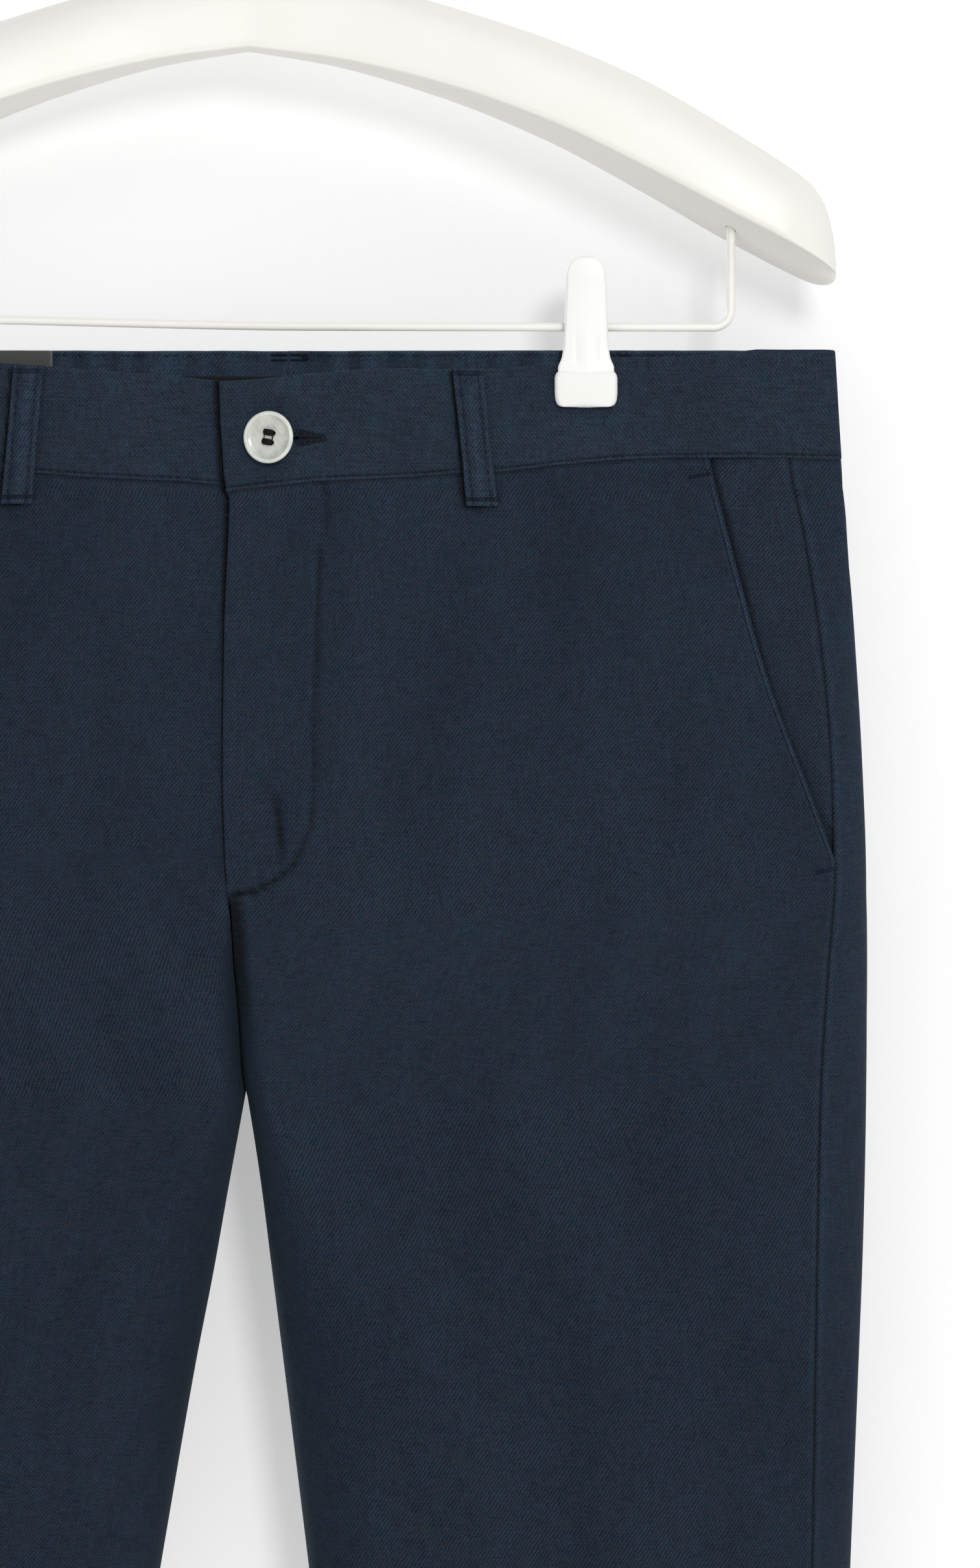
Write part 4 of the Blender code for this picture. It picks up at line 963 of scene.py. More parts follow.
def zip_slider(finish):
    """The slider, flat between the fly and its shield, with its tab hanging down."""
    bm = bmesh.new()
    for drop, size, proud in ((ZIP_TOP - 1.5, (7.6, 1.5, 9.0), 0), (ZIP_TOP + 9.0, (4.2, 0.5, 14.0), 0.3)):
        block(bm, (ZIP_X, zip_y(drop, COIL_PROUD + proud), WAIST_Z - drop), size, 0.22, 2)
    return add_piece("zip_slider", bm_mesh("zip_slider", bm), finish)


# ---------------------------------------------------------------- button and buttonhole

BUTTON_YAW = math.radians(17)  # its outer side stands away from the cloth
BUTTON_RADIUS = 9.55
HOLES_TURNED = math.radians(10)
# The four holes, each as X and Z from the button's middle.
HOLES = [tuple(Matrix.Rotation(-HOLES_TURNED, 2) @ Vector((x, z)))
         for x in (-1.65, 1.65) for z in (-1.75, 1.75)]
# From the middle of the back, round the rim, to the middle of the sunk face: radius and y.
BUTTON_PROFILE = (
    (0, 1.2), (3.5, 1.2), (6.4, 1.2), (7.9, 0.85), (9.0, 0.3), (9.45, -0.1), (9.55, -0.45), (9.5, -0.8),
    (9.3, -1.08), (9.0, -1.26), (8.6, -1.34), (8.2, -1.28), (7.95, -1.1), (7.82, -0.92), (7.6, -0.86),
    (7.3, -0.72), (6.9, -0.52), (6.3, -0.36), (5.6, -0.26), (4.0, -0.2), (2.0, -0.2), (0, -0.2),
)
# The buttonhole, which the shank spreads: half its height along X.
BUTTONHOLE = {"x": (3.0, 5.5, 11.0, 17.0, 24.0, 28.5), "half": (0.3, 1.5, 1.2, 0.55, 0.25, 0.15)}


def button_place():
    """The Y of the cloth under the button, and the button's own place and tilt."""
    under = -float(depth(BUTTON_X, BUTTON_DROP, "front") + BAND_PROUD + FLY_LIFT)
    middle = (BUTTON_X, under - BUTTON_RADIUS * math.sin(BUTTON_YAW) - 1.9, WAIST_Z - BUTTON_DROP)
    return under, Matrix.Translation(middle) @ Matrix.Rotation(-BUTTON_YAW, 4, "Z")


def make_button(finish):
    """A turned button with a rolled rim, a dished face and four drilled holes."""
    rings = [[(radius * c, y, radius * s) for c, s in round_about(96)] for radius, y in BUTTON_PROFILE[1:-1]]
    skin = loft(rings, ((0, BUTTON_PROFILE[0][1], 0), (0, BUTTON_PROFILE[-1][1], 0)))
    made = add_piece("shell_button", mesh_of("shell_button", *skin), finish, "button")
    bm = bmesh.new()
    for x, z in HOLES:
        rod(bm, 0.8, -3, 3, (x, 0, z))
    cut(made, bm)
    made.data.transform(Matrix.Scale(MM, 4) @ button_place()[1] @ Matrix.Scale(1 / MM, 4))
    made.data.set_sharp_from_angle(angle=math.radians(50))
    return made


def button_thread(finish):
    """Many turns of thread in two bars across the holes, a strand at each end, and the shank."""
    under, frame_at = button_place()
    turn = frame_at.to_3x3()
    bits = []

    def strand(a, b, radius, lift=0.0, raised=(0, -1, 0)):
        """One strand of thread between two places given from the button's middle."""
        bits.append((frame_at @ Vector(a), frame_at @ Vector(b), turn @ Vector(raised), radius, lift))

    for low, high in ((0, 2), (1, 3)):
        (x0, z0), (x1, z1) = HOLES[low], HOLES[high]
        for k in range(7):
            share = (k - 3) / 3
            wander = 0.12 * math.sin(2.3 * k + low)
            y, dz = -0.75 - 0.55 * math.sqrt(1 - share**2), 0.85 * share
            strand((x0 - 0.5, y, z0 + dz + wander), (x1 + 0.45, y, z1 + dz - wander), 0.34, 0.18)
        for x, z in (HOLES[low], HOLES[high]):
            for c, s in round_about(5):
                strand((x + 0.42 * c, -1.15, z + 0.42 * s), (x + 0.42 * c, 1.9, z + 0.42 * s), 0.3)
    for low, high, radius in ((0, 1, 0.16), (2, 3, 0.24)):
        (x0, z0), (x1, z1) = HOLES[low], HOLES[high]
        strand((x0, -0.5, z0), (x1, -0.5, z1), radius, 0.1)
    reach = under + FLY_LIFT - TOUCH - frame_at.translation.y
    for c, s in round_about(9):
        strand((1.275 * c, 1.75, 1.275 * s), (0.75 * c, reach, 0.75 * s), 0.34, 0.0, (1, 0, 0))
    # The shank is wound round eight times, each time in six short bends.
    winds = round_about(12)
    for k in range(8):
        y = 2.1 + k * 0.5
        for a in range(0, 12, 2):
            (c0, s0), (c, s), (c1, s1) = winds[a], winds[a + 1], winds[(a + 2) % 12]
            strand((c0, y, s0), (c1, y + 0.08, s1), 0.28, 0.1, (c, 0, s))
    return thread_bits("button_sewing", bits, finish, "button_thread")


def cut_buttonhole(band):
    """Cuts the buttonhole through the left band."""
    under, bm = button_place()[0], bmesh.new()
    outline = list(zip(BUTTONHOLE["x"], BUTTONHOLE["half"]))
    outline += [(x, -half) for x, half in outline[::-1]]
    face = bm.faces.new([bm.verts.new((x, under - 2, WAIST_Z - BUTTON_DROP + z)) for x, z in outline])
    moved = bmesh.ops.extrude_face_region(bm, geom=[face])["geom"]
    bmesh.ops.translate(bm, verts=[v for v in moved if isinstance(v, bmesh.types.BMVert)], vec=(0, 6.5, 0))
    cut(band, bm)


def buttonhole_stitches(trees, finish):
    """Close stitches over both lips of the buttonhole, and a bar at its outer end."""
    bits = []
    for side in (-1, 1):
        for k in range(64):
            x = 6.0 + 21.5 * k / 63
            half = float(at(BUTTONHOLE, "half", x, "x"))
            reach = (3.3 + 0.25 * math.sin(5.1 * k)) * (1 - 0.65 * float(ease(x, 15, 28)))
            lean = 0.9 + 0.25 * math.sin(2.7 * k)
            near = on_cloth(trees, x, BUTTON_DROP + side * (half + 0.1))
            far = on_cloth(trees, x + lean, BUTTON_DROP + side * (half + reach))
            if near and far and (near[0] - far[0]).length < 3:
                lip = near[0] + Vector((0, 0, side * (half + 0.2)))
                bits.append((lip, far[0], far[1], 0.27, 0.3))
    for k in range(9):
        ends = [on_cloth(trees, 27.3 + 0.14 * k, BUTTON_DROP + d) for d in (-1.15, 1.15)]
        bits.append((ends[0][0], ends[1][0], ends[0][1], 0.3, 0.4))
    return thread_bits("buttonhole_stitches", bits, finish)


# ---------------------------------------------------------------- hanger

# The arm's stations: the front lower edge, the ridge, how far it reaches to front and back, and
# how much lower its back edge is. Past ARM_STRAIGHT it rounds off to its tip.
ARM = {
    "x": (0, 30, 70, 110, 145, 175.6, 195.4, 216),
    "low": (110, 106, 96.5, 82, 65, 48.8, 38.6, 28.3),
    "top": (146, 138, 127, 114, 99, 81.5, 69, 55),
    "front": (8, 9, 12, 16, 19, 21, 21, 20),
    "back": (8, 9, 12, 17, 21, 24, 24, 22),
    "heel": (0, 1, 3, 4.5, 6, 7.3, 7.6, 11),
}
ARM_STRAIGHT = 192.0
ARM_END = 216.0
BAR_HALF = 177.3
BAR_BEND = 6.5
BAR_RADIUS = 1.6
BAR_SOCKET = 62.0
BAR_DROP = {"x": (-177.3, -91, 28, 177.3), "drop": (-13, -11, -8.6, -8.3)}
HOOK_RADIUS = 1.9
HOOK_INNER = 20.0
HOOK_FROM, HOOK_SWEEP = -62, 256  # degrees
NECK_SOCKET = 120.0
WIRE_ROUND = 0.3  # how far a wire's end rounds over


def bar_z(x):
    """The height of the hanger's bar here."""
    return WAIST_Z - float(at(BAR_DROP, "drop", x, "x"))


def arm_section(x):
    """One closed section of the hanger's arm: a broad face, a rounded ridge and a hollow underside."""
    low, top, front, back, heel = (
        float(at(ARM, key, abs(x), "x")) for key in ("low", "top", "front", "back", "heel"))
    middle = (low + top) / 2
    corners = np.array((
        (-front * 0.9, low + 0.7), (-front * 0.985, low + 2.2), (-front, low + 5.5),
        (-front * 0.93, middle + 2), (-front * 0.62, top - 4), (-front * 0.15, top),
        (back * 0.3, top - 0.5), (back * 0.75, top - 6),
        (back, middle - heel * 0.4), (back * 0.97, low - heel + 5), (back * 0.82, low - heel + 0.6),
        (back * 0.2, low - heel * 0.65), (-front * 0.6, low + 0.2)))
    past = max(abs(x) - ARM_STRAIGHT, 0) / (ARM_END - ARM_STRAIGHT)
    slim, tall = math.sqrt(1 - past**2), math.sqrt(1 - past**6)
    heart = low - 1
    above = corners[:, 1] - heart
    corners = np.stack([corners[:, 0] * slim, heart + above * np.where(above > 0, tall, slim)], axis=1)
    before, after, beyond = (np.roll(corners, step, axis=0) for step in (1, -1, -2))
    # A curve through the corners, with three points between each two.
    bend, swing = 2 * before - 5 * corners + 4 * after - beyond, 3 * corners - before - 3 * after + beyond
    ring = [corners + 0.5 * ((after - before) * t + bend * t**2 + swing * t**3) for t in (0, 0.25, 0.5, 0.75)]
    return np.stack(ring, axis=1).reshape(-1, 2)


def hanger_body(finish):
    """Both arms in one hollow-bellied moulding, with sockets for the bar's ends and the hook."""
    rounding = ARM_STRAIGHT + (ARM_END - ARM_STRAIGHT) * np.sin(np.radians(range(6, 90, 6)))
    stations = [*np.linspace(0, ARM_STRAIGHT, 56), *rounding, ARM_END - 0.02]
    stations = [-x for x in stations[:0:-1]] + stations
    rings = [[(x, y, WAIST_Z + z) for y, z in arm_section(x)] for x in stations]
    tip_z = WAIST_Z + ARM["low"][-1] - 1
    skin = loft(rings, ((-ARM_END, 0, tip_z), (ARM_END, 0, tip_z)))
    made = add_piece("hanger_arms", mesh_of("hanger_arms", *skin), finish, "hanger_body")
    bm = bmesh.new()
    sockets = [(x, BAR_RADIUS, 30, BAR_SOCKET) for x in (-BAR_HALF, BAR_HALF)]
    for x, radius, low, high in (*sockets, (0, HOOK_RADIUS, NECK_SOCKET, 175)):
        rod(bm, radius + TOUCH, WAIST_Z + low, WAIST_Z + high, (x, 0, 0), 32, "Z")
    cut(made, bm)
    made.data.set_sharp_from_angle(angle=math.radians(48))
    return made


def wire(name, path, radius, finish, node):
    """Round wire along a path of (x, z), in the plane of the hanger, with slightly rounded ends."""
    path = np.array(path)
    along = np.gradient(path, axis=0)
    along /= np.linalg.norm(along, axis=1, keepdims=True)
    ends = path[0].copy(), path[-1].copy()
    path[0] += WIRE_ROUND * along[0]
    path[-1] -= WIRE_ROUND * along[-1]
    radii = [radius - WIRE_ROUND, *[radius] * len(path), radius - WIRE_ROUND]
    path, along = np.vstack([ends[0], path, ends[1]]), along[[0, *range(len(along)), -1]]
    rings = [[(x + r * c * dz, -r * s, z - r * c * dx) for c, s in round_about(32)]
             for (x, z), (dx, dz), r in zip(path, along, radii)]
    mesh = mesh_of(name, *loft(rings))
    mesh.set_sharp_from_angle(angle=math.radians(40))
    return add_piece(name, mesh, finish, node)


def bar_path():
    """Down out of one arm, round a bend, across under the arms and up into the other arm."""
    ends = []
    for side in (-1, 1):
        corner = bar_z(side * BAR_HALF) + BAR_BEND
        leg = [(side * BAR_HALF, z) for z in np.linspace(WAIST_Z + BAR_SOCKET - 1, corner + 0.8, 12)]
        turns = [math.radians(5 * step) for step in range(19)]
        ends.append(leg + [(side * (BAR_HALF - BAR_BEND * (1 - math.cos(t))), corner - BAR_BEND * math.sin(t))
                           for t in turns])
    return ends[0] + [(x, bar_z(x)) for x in np.linspace(-169, 169, 60)] + ends[1][::-1]


def hook_path():
    """Up out of the hanger's neck, aside in an easy bend, and over the rail."""
    radius = HOOK_INNER + HOOK_RADIUS
    join = math.radians(HOOK_FROM)
    path = [(0, z) for z in np.linspace(WAIST_Z + NECK_SOCKET + TOUCH, WAIST_Z + 150, 8)]
    start = Vector((0, WAIST_Z + 151))
    end = Vector((radius * math.cos(join), radius * math.sin(join) - HOOK_INNER))
    pulls = start + Vector((0, 8)), end - 8 * Vector((-math.sin(join), math.cos(join)))
    for t in np.linspace(0, 1, 25)[:-1]:
        rest = 1 - t
        bend = rest**3 * start + 3 * t * rest**2 * pulls[0] + 3 * t**2 * rest * pulls[1] + t**3 * end
        path.append(tuple(bend))
    turns = np.radians(np.linspace(HOOK_FROM, HOOK_FROM + HOOK_SWEEP, 90))
    return path + [(radius * math.cos(t), radius * math.sin(t) - HOOK_INNER) for t in turns]


# ---------------------------------------------------------------- clips

# A clip arm and its jaw, from top to bottom: height above the bar, half width, and how far the
# arm's outer and inner faces are from the cloth's middle plane.
CLIP_ARM = {
    "height": (25.5, 25.0, 23.8, 21.6, 18.6, 14.0, 7.0, 0.0, -6.5, -11.5, -15.5, -18.0),
    "half_width": (0.6, 3.4, 5.3, 6.8, 7.4, 7.6, 7.8, 8.1, 8.3, 9.0, 10.4, 10.4),
    "outer": (8.7, 9.0, 9.2, 9.2, 9.1, 8.6, 8.1, 7.7, 7.4, 7.25, 7.2, 7.2),
    "inner": (7.4, 7.1, 6.8, 6.6, 6.4, 5.9, 5.4, 5.1, 5.0, 5.1, 5.2, 5.2),
}
PAD = {
    "height": (-16.2, -16.7, -17.6, -19.2, -24.0, -27.6, -29.0, -29.7, -30.0),
    "half_width": (9.6, 10.7, 11.3, 11.65, 11.65, 11.3, 10.6, 9.6, 8.4),
}
PAD_OUTER, PAD_THICK = 7.6, 3.9
SADDLE = (11, 5.4, 6)  # the block inside each arm that holds the bar


def outline_of(table, count):
    """Heights down a clip part, spread close at its ends, and a reader of its other columns."""
    rising = {key: table[key][::-1] for key in table}
    top, low = table["height"][0], table["height"][-1]
    height = (top - spread(top - low, count))[:, None]
    return height, lambda column: at(rising, column, height, "height")


def clip_side(side, word, face, finish, pad_finish):
    """One arm of a clip with its raised ribs, its saddle on the bar and its rubbery jaw."""
    sign = -1 if face == "front" else 1
    middle = side * CLIP_ACROSS
    bar = bar_z(middle)
    share = -np.cos(np.linspace(0, math.pi, 41))[None]

    height, column = outline_of(CLIP_ARM, 70)
    offset = column("half_width") * share
    thick = column("outer") - column("inner") - 0.25
    raised = ridges(abs(offset), (3.7, 0.8, -0.22)) * ease(-height, 1.5, 6) * (1 - ease(-height, 11, 16))
    raised = raised + ridges(offset, (0, 1.6, 0.15)) * ease(-height, -2, 5)
    y = sign * (column("outer") - 0.5 * share**2 + raised)
    cloth("clip_arm_%s_%s" % (word, face), finish, middle + offset, y,
          WAIST_Z - bar - height, thick, turned=-sign, node="clip_%s_%s_arm" % (word, face))

    bm = bmesh.new()
    block(bm, (middle, sign * 3.4, bar), SADDLE, 0.7, 3)
    mesh = bm_mesh("saddle", bm)
    mesh.shade_smooth()
    saddle = add_piece("clip_saddle_%s_%s" % (word, face), mesh, finish)
    groove = bmesh.new()
    rod(groove, BAR_RADIUS + TOUCH, -15, 15, (middle, 0, bar), 40, "X")
    cut(saddle, groove)
    saddle.data.set_sharp_from_angle(angle=math.radians(40))

    height, column = outline_of(PAD, 34)
    offset = column("half_width") * share
    centre = (PAD["height"][0] + PAD["height"][-1]) / 2
    y = sign * (PAD_OUTER - 0.35 * share**2 - 0.25 * ((height - centre) / 7) ** 2)
    return cloth("clip_jaw_%s_%s" % (word, face), pad_finish, middle + offset, y,
                 WAIST_Z - bar - height, PAD_THICK, turned=-sign, node="clip_%s_%s_pad" % (word, face))


# ---------------------------------------------------------------- finishes


def linear(colour):
    """A hex colour, as printed on a shade card, to the linear values that light works in."""
    parts = [int(colour[i : i + 2], 16) / 255 for i in (1, 3, 5)]
    return (*[p / 12.92 if p <= 0.04045 else ((p + 0.055) / 1.055) ** 2.4 for p in parts], 1.0)


def add(tree, kind, inputs=None, **settings):
    """A node with its settings. An input is a value, a node's output, or a node for its first
    output in use."""
    made = tree.nodes.new("ShaderNode" + kind)
    for name, value in settings.items():
        setattr(made, name, value)
    for key, value in (inputs or {}).items():
        if isinstance(value, bpy.types.Node):
            value = next(output for output in value.outputs if output.enabled)
        if isinstance(value, bpy.types.NodeSocket):
            tree.links.new(value, made.inputs[key])
        else:
            made.inputs[key].default_value = value
    return made


def new_finish(name):
    """An empty material and its tree."""
    made = bpy.data.materials.new(name)
    made.use_nodes = True
    made.node_tree.nodes.clear()
    return made, made.node_tree


def in_mm(tree, source):
    """Places in millimetres, along the "cloth" or in the space of the "object"."""
    if source == "cloth":
        place = add(tree, "UVMap", uv_map="cloth")
    else:
        place = add(tree, "TexCoord").outputs["Object"]
    return add(tree, "VectorMath", {0: place, "Scale": 1 / MM}, operation="SCALE")


def ribs(tree, run, pitch):
    """From 0 to 1 and back over each rib of this pitch."""
    turn = add(tree, "Math", {0: run, 1: 2 * math.pi / pitch}, operation="MULTIPLY")
    turn = add(tree, "Math", {0: turn}, operation="SINE")
    return add(tree, "Math", {0: turn, 1: 0.5, 2: 0.5}, operation="MULTIPLY_ADD")


TWILL_PITCH = 1.1  # between ribs: a little over the real 1.05, so that they show
FLOAT_PITCH = 0.8  # along a rib, where each weft yarn passes under
EVEN = (1, 1, 1)


def linen_twill(name, lean, deep, bright, seed, strong=1.0, upright=False):
    """Piece-dyed linen twill, washed: matt diagonal ribs of short floats at lean degrees, thick and
    thin yarns that show as streaks, and dye that took unevenly, with flecks of teal and brown. Its
    weft lies along X, or stands upright, and strong is how clearly the ribs show."""
    made, tree = new_finish(name)
    away = (seed * 37.0, seed * 19.0, seed)
    cloth_mm = add(tree, "VectorMath", {0: in_mm(tree, "cloth"), 1: away}, operation="ADD")
    # What is uneven: its scale per mm, detail, roughness, and how it is stretched. Slubs lie along
    # the weft, 6 to 10 mm long and half a millimetre thick, and are fainter along the warp.
    uneven = {
        "yarn": (1.3, 2, 0.6, EVEN),
        "drift": (0.16, 2, 0.6, EVEN),
        "weft": (1.0, 3, 0.65, (1.6, 0.12, 1) if upright else (0.12, 1.6, 1)),
        "warp": (1.0, 2, 0.6, (0.09, 1.4, 1) if upright else (1.4, 0.09, 1)),
        "brown": (1.3, 3, 0.6, (1.5, 0.16, 1) if upright else (0.16, 1.5, 1)),
        "fleck": (0.75, 2, 0.8, EVEN),
        "cloud": (0.1, 2, 0.6, EVEN),
        "patch": (0.35, 2, 0.6, EVEN),
        "grain": (2.8, 1, 0.6, EVEN),
        "dye": (0.03, 1, 0.5, (1, 0.3, 1)),
        "undyed": (1.9, 1, 0.6, EVEN),
    }
    for key, (scale, detail, rough, stretch) in uneven.items():
        place = add(tree, "VectorMath", {0: cloth_mm, 1: stretch}, operation="MULTIPLY")
        uneven[key] = add(tree, "TexNoise", {"Vector": place, "Scale": scale, "Detail": detail,
                                             "Roughness": rough})
    # What each does to the cloth: the span of it that counts, and what that turns to.
    does = {
        "crisp": ("cloud", 0.3, 0.7, 0.86 * strong, 1.14 * strong),
        "yarn": ("yarn", 0.3, 0.7, -0.2, 0.2),
        "weft": ("weft", 0.3, 0.7, -0.16, 0.16),
        "warp": ("warp", 0.3, 0.7, -0.15, 0.15),
        "patch": ("patch", 0.3, 0.7, -0.09, 0.09),
        "grain": ("grain", 0.3, 0.7, -0.14, 0.14),
        "depth": ("dye", 0.3, 0.7, 0.9, 1.1),
        "hue": ("fleck", 0.3, 0.7, 0.48, 0.52),
        "richness": ("fleck", 0.3, 0.7, 1.2, 0.8),
        "brown": ("brown", 0.48, 0.72, 0.0, 0.55),
        "undyed": ("undyed", 0.79, 0.86, 0.0, 0.5),
    }
    for key, (source, *span) in does.items():
        does[key] = add(tree, "MapRange", {0: uneven[source], **dict(enumerate(span, 1))})
    # Ribs: a wave across the lean, pushed about a little by the yarns, and broken into floats.
    leaning = add(tree, "VectorRotate", {"Vector": cloth_mm, "Angle": math.radians(90 - lean)},
                  rotation_type="Z_AXIS")
    run = add(tree, "SeparateXYZ", {0: leaning})
    run = add(tree, "Math", {0: uneven["drift"], 1: 1.1, 2: run}, operation="MULTIPLY_ADD")
    run = add(tree, "Math", {0: uneven["yarn"], 1: 0.55, 2: run}, operation="MULTIPLY_ADD")
    fall = add(tree, "SeparateXYZ", {0: cloth_mm}).outputs["Y"]
    fall = add(tree, "Math", {0: uneven["yarn"], 1: 0.7, 2: fall}, operation="MULTIPLY_ADD")
    floats = add(tree, "Math", {0: ribs(tree, fall, FLOAT_PITCH), 1: 0.6, 2: 0.4}, operation="MULTIPLY_ADD")
    weave = add(tree, "Math", {0: ribs(tree, run, TWILL_PITCH), 1: floats}, operation="MULTIPLY")
    least = 0.1 + 0.3 * (1 - strong)
    lit = add(tree, "Math", {0: weave, 1: does["crisp"], 2: least}, operation="MULTIPLY_ADD")
    for key in ("yarn", "weft", "warp", "patch", "grain"):
        lit = add(tree, "Math", {0: does[key], 1: lit}, operation="ADD")
    dye = add(tree, "Mix", {0: lit, 6: linear(deep), 7: linear(bright)}, data_type="RGBA")
    # The tone is what seams and wear do to the dye, with painted shade and highlights; the flecks turn it
    # towards teal.
    tone = add(tree, "Attribute", attribute_name="tone").outputs["Fac"]
    tone = add(tree, "Math", {0: does["depth"], 1: tone}, operation="MULTIPLY")
    dye = add(tree, "HueSaturation", {"Hue": does["hue"], "Saturation": does["richness"], "Value": tone,
                                      "Color": dye})
    # Brown yarns among the weft, as linen takes dye unevenly, and rare undyed fibre ends.
    for key, colour in (("brown", "#2a2724"), ("undyed", "#6f8294")):
        dye = add(tree, "Mix", {0: does[key], 6: dye, 7: linear(colour)}, data_type="RGBA")
    height = add(tree, "Math", {0: uneven["weft"], 1: 0.5, 2: weave}, operation="MULTIPLY_ADD")
    shader = add(tree, "BsdfPrincipled", {
        "Base Color": dye,
        "Roughness": add(tree, "MapRange", {0: weave, 3: 0.97, 4: 0.84}),
        "Normal": add(tree, "Bump", {"Height": height, "Strength": 0.5, "Distance": 0.14 * MM}),
        "IOR": 1.5, "Specular IOR Level": 0.12,
        "Sheen Weight": 0.06, "Sheen Roughness": 0.5, "Sheen Tint": linear("#8fa6bd"),
    })
    add(tree, "OutputMaterial", {"Surface": shader})
    return made


def woven_tape(name, deep, bright, rib_mm, turn_degrees):
    """Narrow woven tape or close cotton twill: fine even ribs, no sheen."""
    made, tree = new_finish(name)
    cloth_mm = in_mm(tree, "cloth")
    turned = add(tree, "VectorRotate", {"Vector": cloth_mm, "Angle": math.radians(turn_degrees)},
                 rotation_type="Z_AXIS")
    rib = ribs(tree, add(tree, "SeparateXYZ", {0: turned}), rib_mm)
    yarn = add(tree, "TexNoise", {"Vector": cloth_mm, "Scale": 1.1, "Detail": 2.0})
    lit = add(tree, "Math", {0: yarn, 1: rib}, operation="ADD")
    lit = add(tree, "Math", {0: lit, 1: 0.5}, operation="MULTIPLY")
    dye = add(tree, "Mix", {0: lit, 6: linear(deep), 7: linear(bright)}, data_type="RGBA")
    tone = add(tree, "Attribute", attribute_name="tone").outputs["Fac"]
    shader = add(tree, "BsdfPrincipled", {
        "Base Color": add(tree, "HueSaturation", {"Value": tone, "Color": dye}),
        "Normal": add(tree, "Bump", {"Height": rib, "Strength": 0.5, "Distance": 0.12 * MM}),
        "Roughness": 0.9, "IOR": 1.5, "Specular IOR Level": 0.15,
    })
    add(tree, "OutputMaterial", {"Surface": shader})
    return made


def sewing_thread(name, deep, bright):
    """Core-spun polyester thread: a slight gleam on its twist."""
    made, tree = new_finish(name)
    twist = add(tree, "TexNoise", {"Vector": in_mm(tree, "object"), "Scale": 1.4, "Detail": 1.0})
    shader = add(tree, "BsdfPrincipled", {
        "Base Color": add(tree, "Mix", {0: twist, 6: linear(deep), 7: linear(bright)}, data_type="RGBA"),
        "Normal": add(tree, "Bump", {"Height": twist, "Strength": 0.5, "Distance": 0.06 * MM}),
        "Roughness": 0.62, "IOR": 1.5, "Specular IOR Level": 0.18,
    })
    add(tree, "OutputMaterial", {"Surface": shader})
    return made


def mother_of_pearl(name, middle):
    """Turned and polished trochus shell: grey-white nacre with slanting growth lines, a hint of
    green and pink, and a wet gloss. Its rim round the lip of its dish is painted paler, as a painted
    highlight."""
    made, tree = new_finish(name)
    place_mm = in_mm(tree, "object")
    lean = add(tree, "VectorRotate", {"Vector": place_mm, "Angle": math.radians(38)}, rotation_type="Y_AXIS")
    stretched = add(tree, "VectorMath", {0: lean, 1: (1.5, 0.3, 0.12)}, operation="MULTIPLY")
    growth = add(tree, "TexNoise", {"Vector": stretched, "Scale": 1.0, "Detail": 4.0, "Roughness": 0.6})
    cloud = add(tree, "TexNoise", {"Vector": place_mm, "Scale": 0.24, "Detail": 2.0})
    reach = add(tree, "VectorMath", {0: place_mm, 1: middle}, operation="DISTANCE")
    nacre = linear("#a6a8a2")
    # The pale band at the rim's radius is a painted highlight.
    for source, colour, start, end, none, full in (
        (cloud, "#bcbeb6", 0.38, 0.62, 0.0, 1.0), (growth, "#d2d5cc", 0.35, 0.65, 0.0, 0.4),
        (reach, "#e3e8dd", 7.8, 8.5, 0.0, 0.4), (growth, "#7d8278", 0.285, 0.3, 0.3, 0.0),
    ):
        share = add(tree, "MapRange", {0: source, 1: start, 2: end, 3: none, 4: full})
        nacre = add(tree, "Mix", {0: share, 6: nacre, 7: linear(colour)}, data_type="RGBA")
    shader = add(tree, "BsdfPrincipled", {
        "Base Color": nacre,
        "Normal": add(tree, "Bump", {"Height": growth, "Strength": 0.15, "Distance": 0.08 * MM}),
        "Roughness": 0.3, "IOR": 1.53, "Coat Weight": 0.5, "Coat Roughness": 0.3, "Coat IOR": 1.53,
    })
    add(tree, "OutputMaterial", {"Surface": shader})
    return made


def moulded(name, colour, shadow, rough, grain_mm, depth_mm):
    """Injection-moulded plastic, or paint: satin, with the faint grain of its tool and a little
    unevenness in the colour."""
    made, tree = new_finish(name)
    place_mm = in_mm(tree, "object")
    cloud = add(tree, "TexNoise", {"Vector": place_mm, "Scale": 0.03, "Detail": 3.0, "Roughness": 0.6})
    grain = add(tree, "TexNoise", {"Vector": place_mm, "Scale": 1 / grain_mm, "Detail": 2.0})
    shader = add(tree, "BsdfPrincipled", {
        "Base Color": add(tree, "Mix", {0: cloud, 6: linear(shadow), 7: linear(colour)}, data_type="RGBA"),
        "Roughness": add(tree, "MapRange", {0: grain, 1: 0.3, 2: 0.7, 3: rough - 0.05, 4: rough + 0.06}),
        "Normal": add(tree, "Bump", {"Height": grain, "Strength": 0.25, "Distance": depth_mm * MM}),
        "IOR": 1.5,
    })
    add(tree, "OutputMaterial", {"Surface": shader})
    return made


def bright_metal(name, colour, rough, brushed_mm):
    """Plated or drawn steel: fine marks along it break the reflections a little."""
    made, tree = new_finish(name)
    marks = add(tree, "TexNoise", {"Vector": in_mm(tree, "object"), "Scale": 1 / brushed_mm, "Detail": 3.0})
    shader = add(tree, "BsdfPrincipled", {
        "Base Color": add(tree, "Mix", {0: marks, 6: linear(colour), 7: linear("#e4e4e2")}, data_type="RGBA"),
        "Roughness": add(tree, "MapRange", {0: marks, 1: 0.3, 2: 0.7, 3: rough, 4: rough + 0.12}),
        "Metallic": 1.0,
    })
    add(tree, "OutputMaterial", {"Surface": shader})
    return made


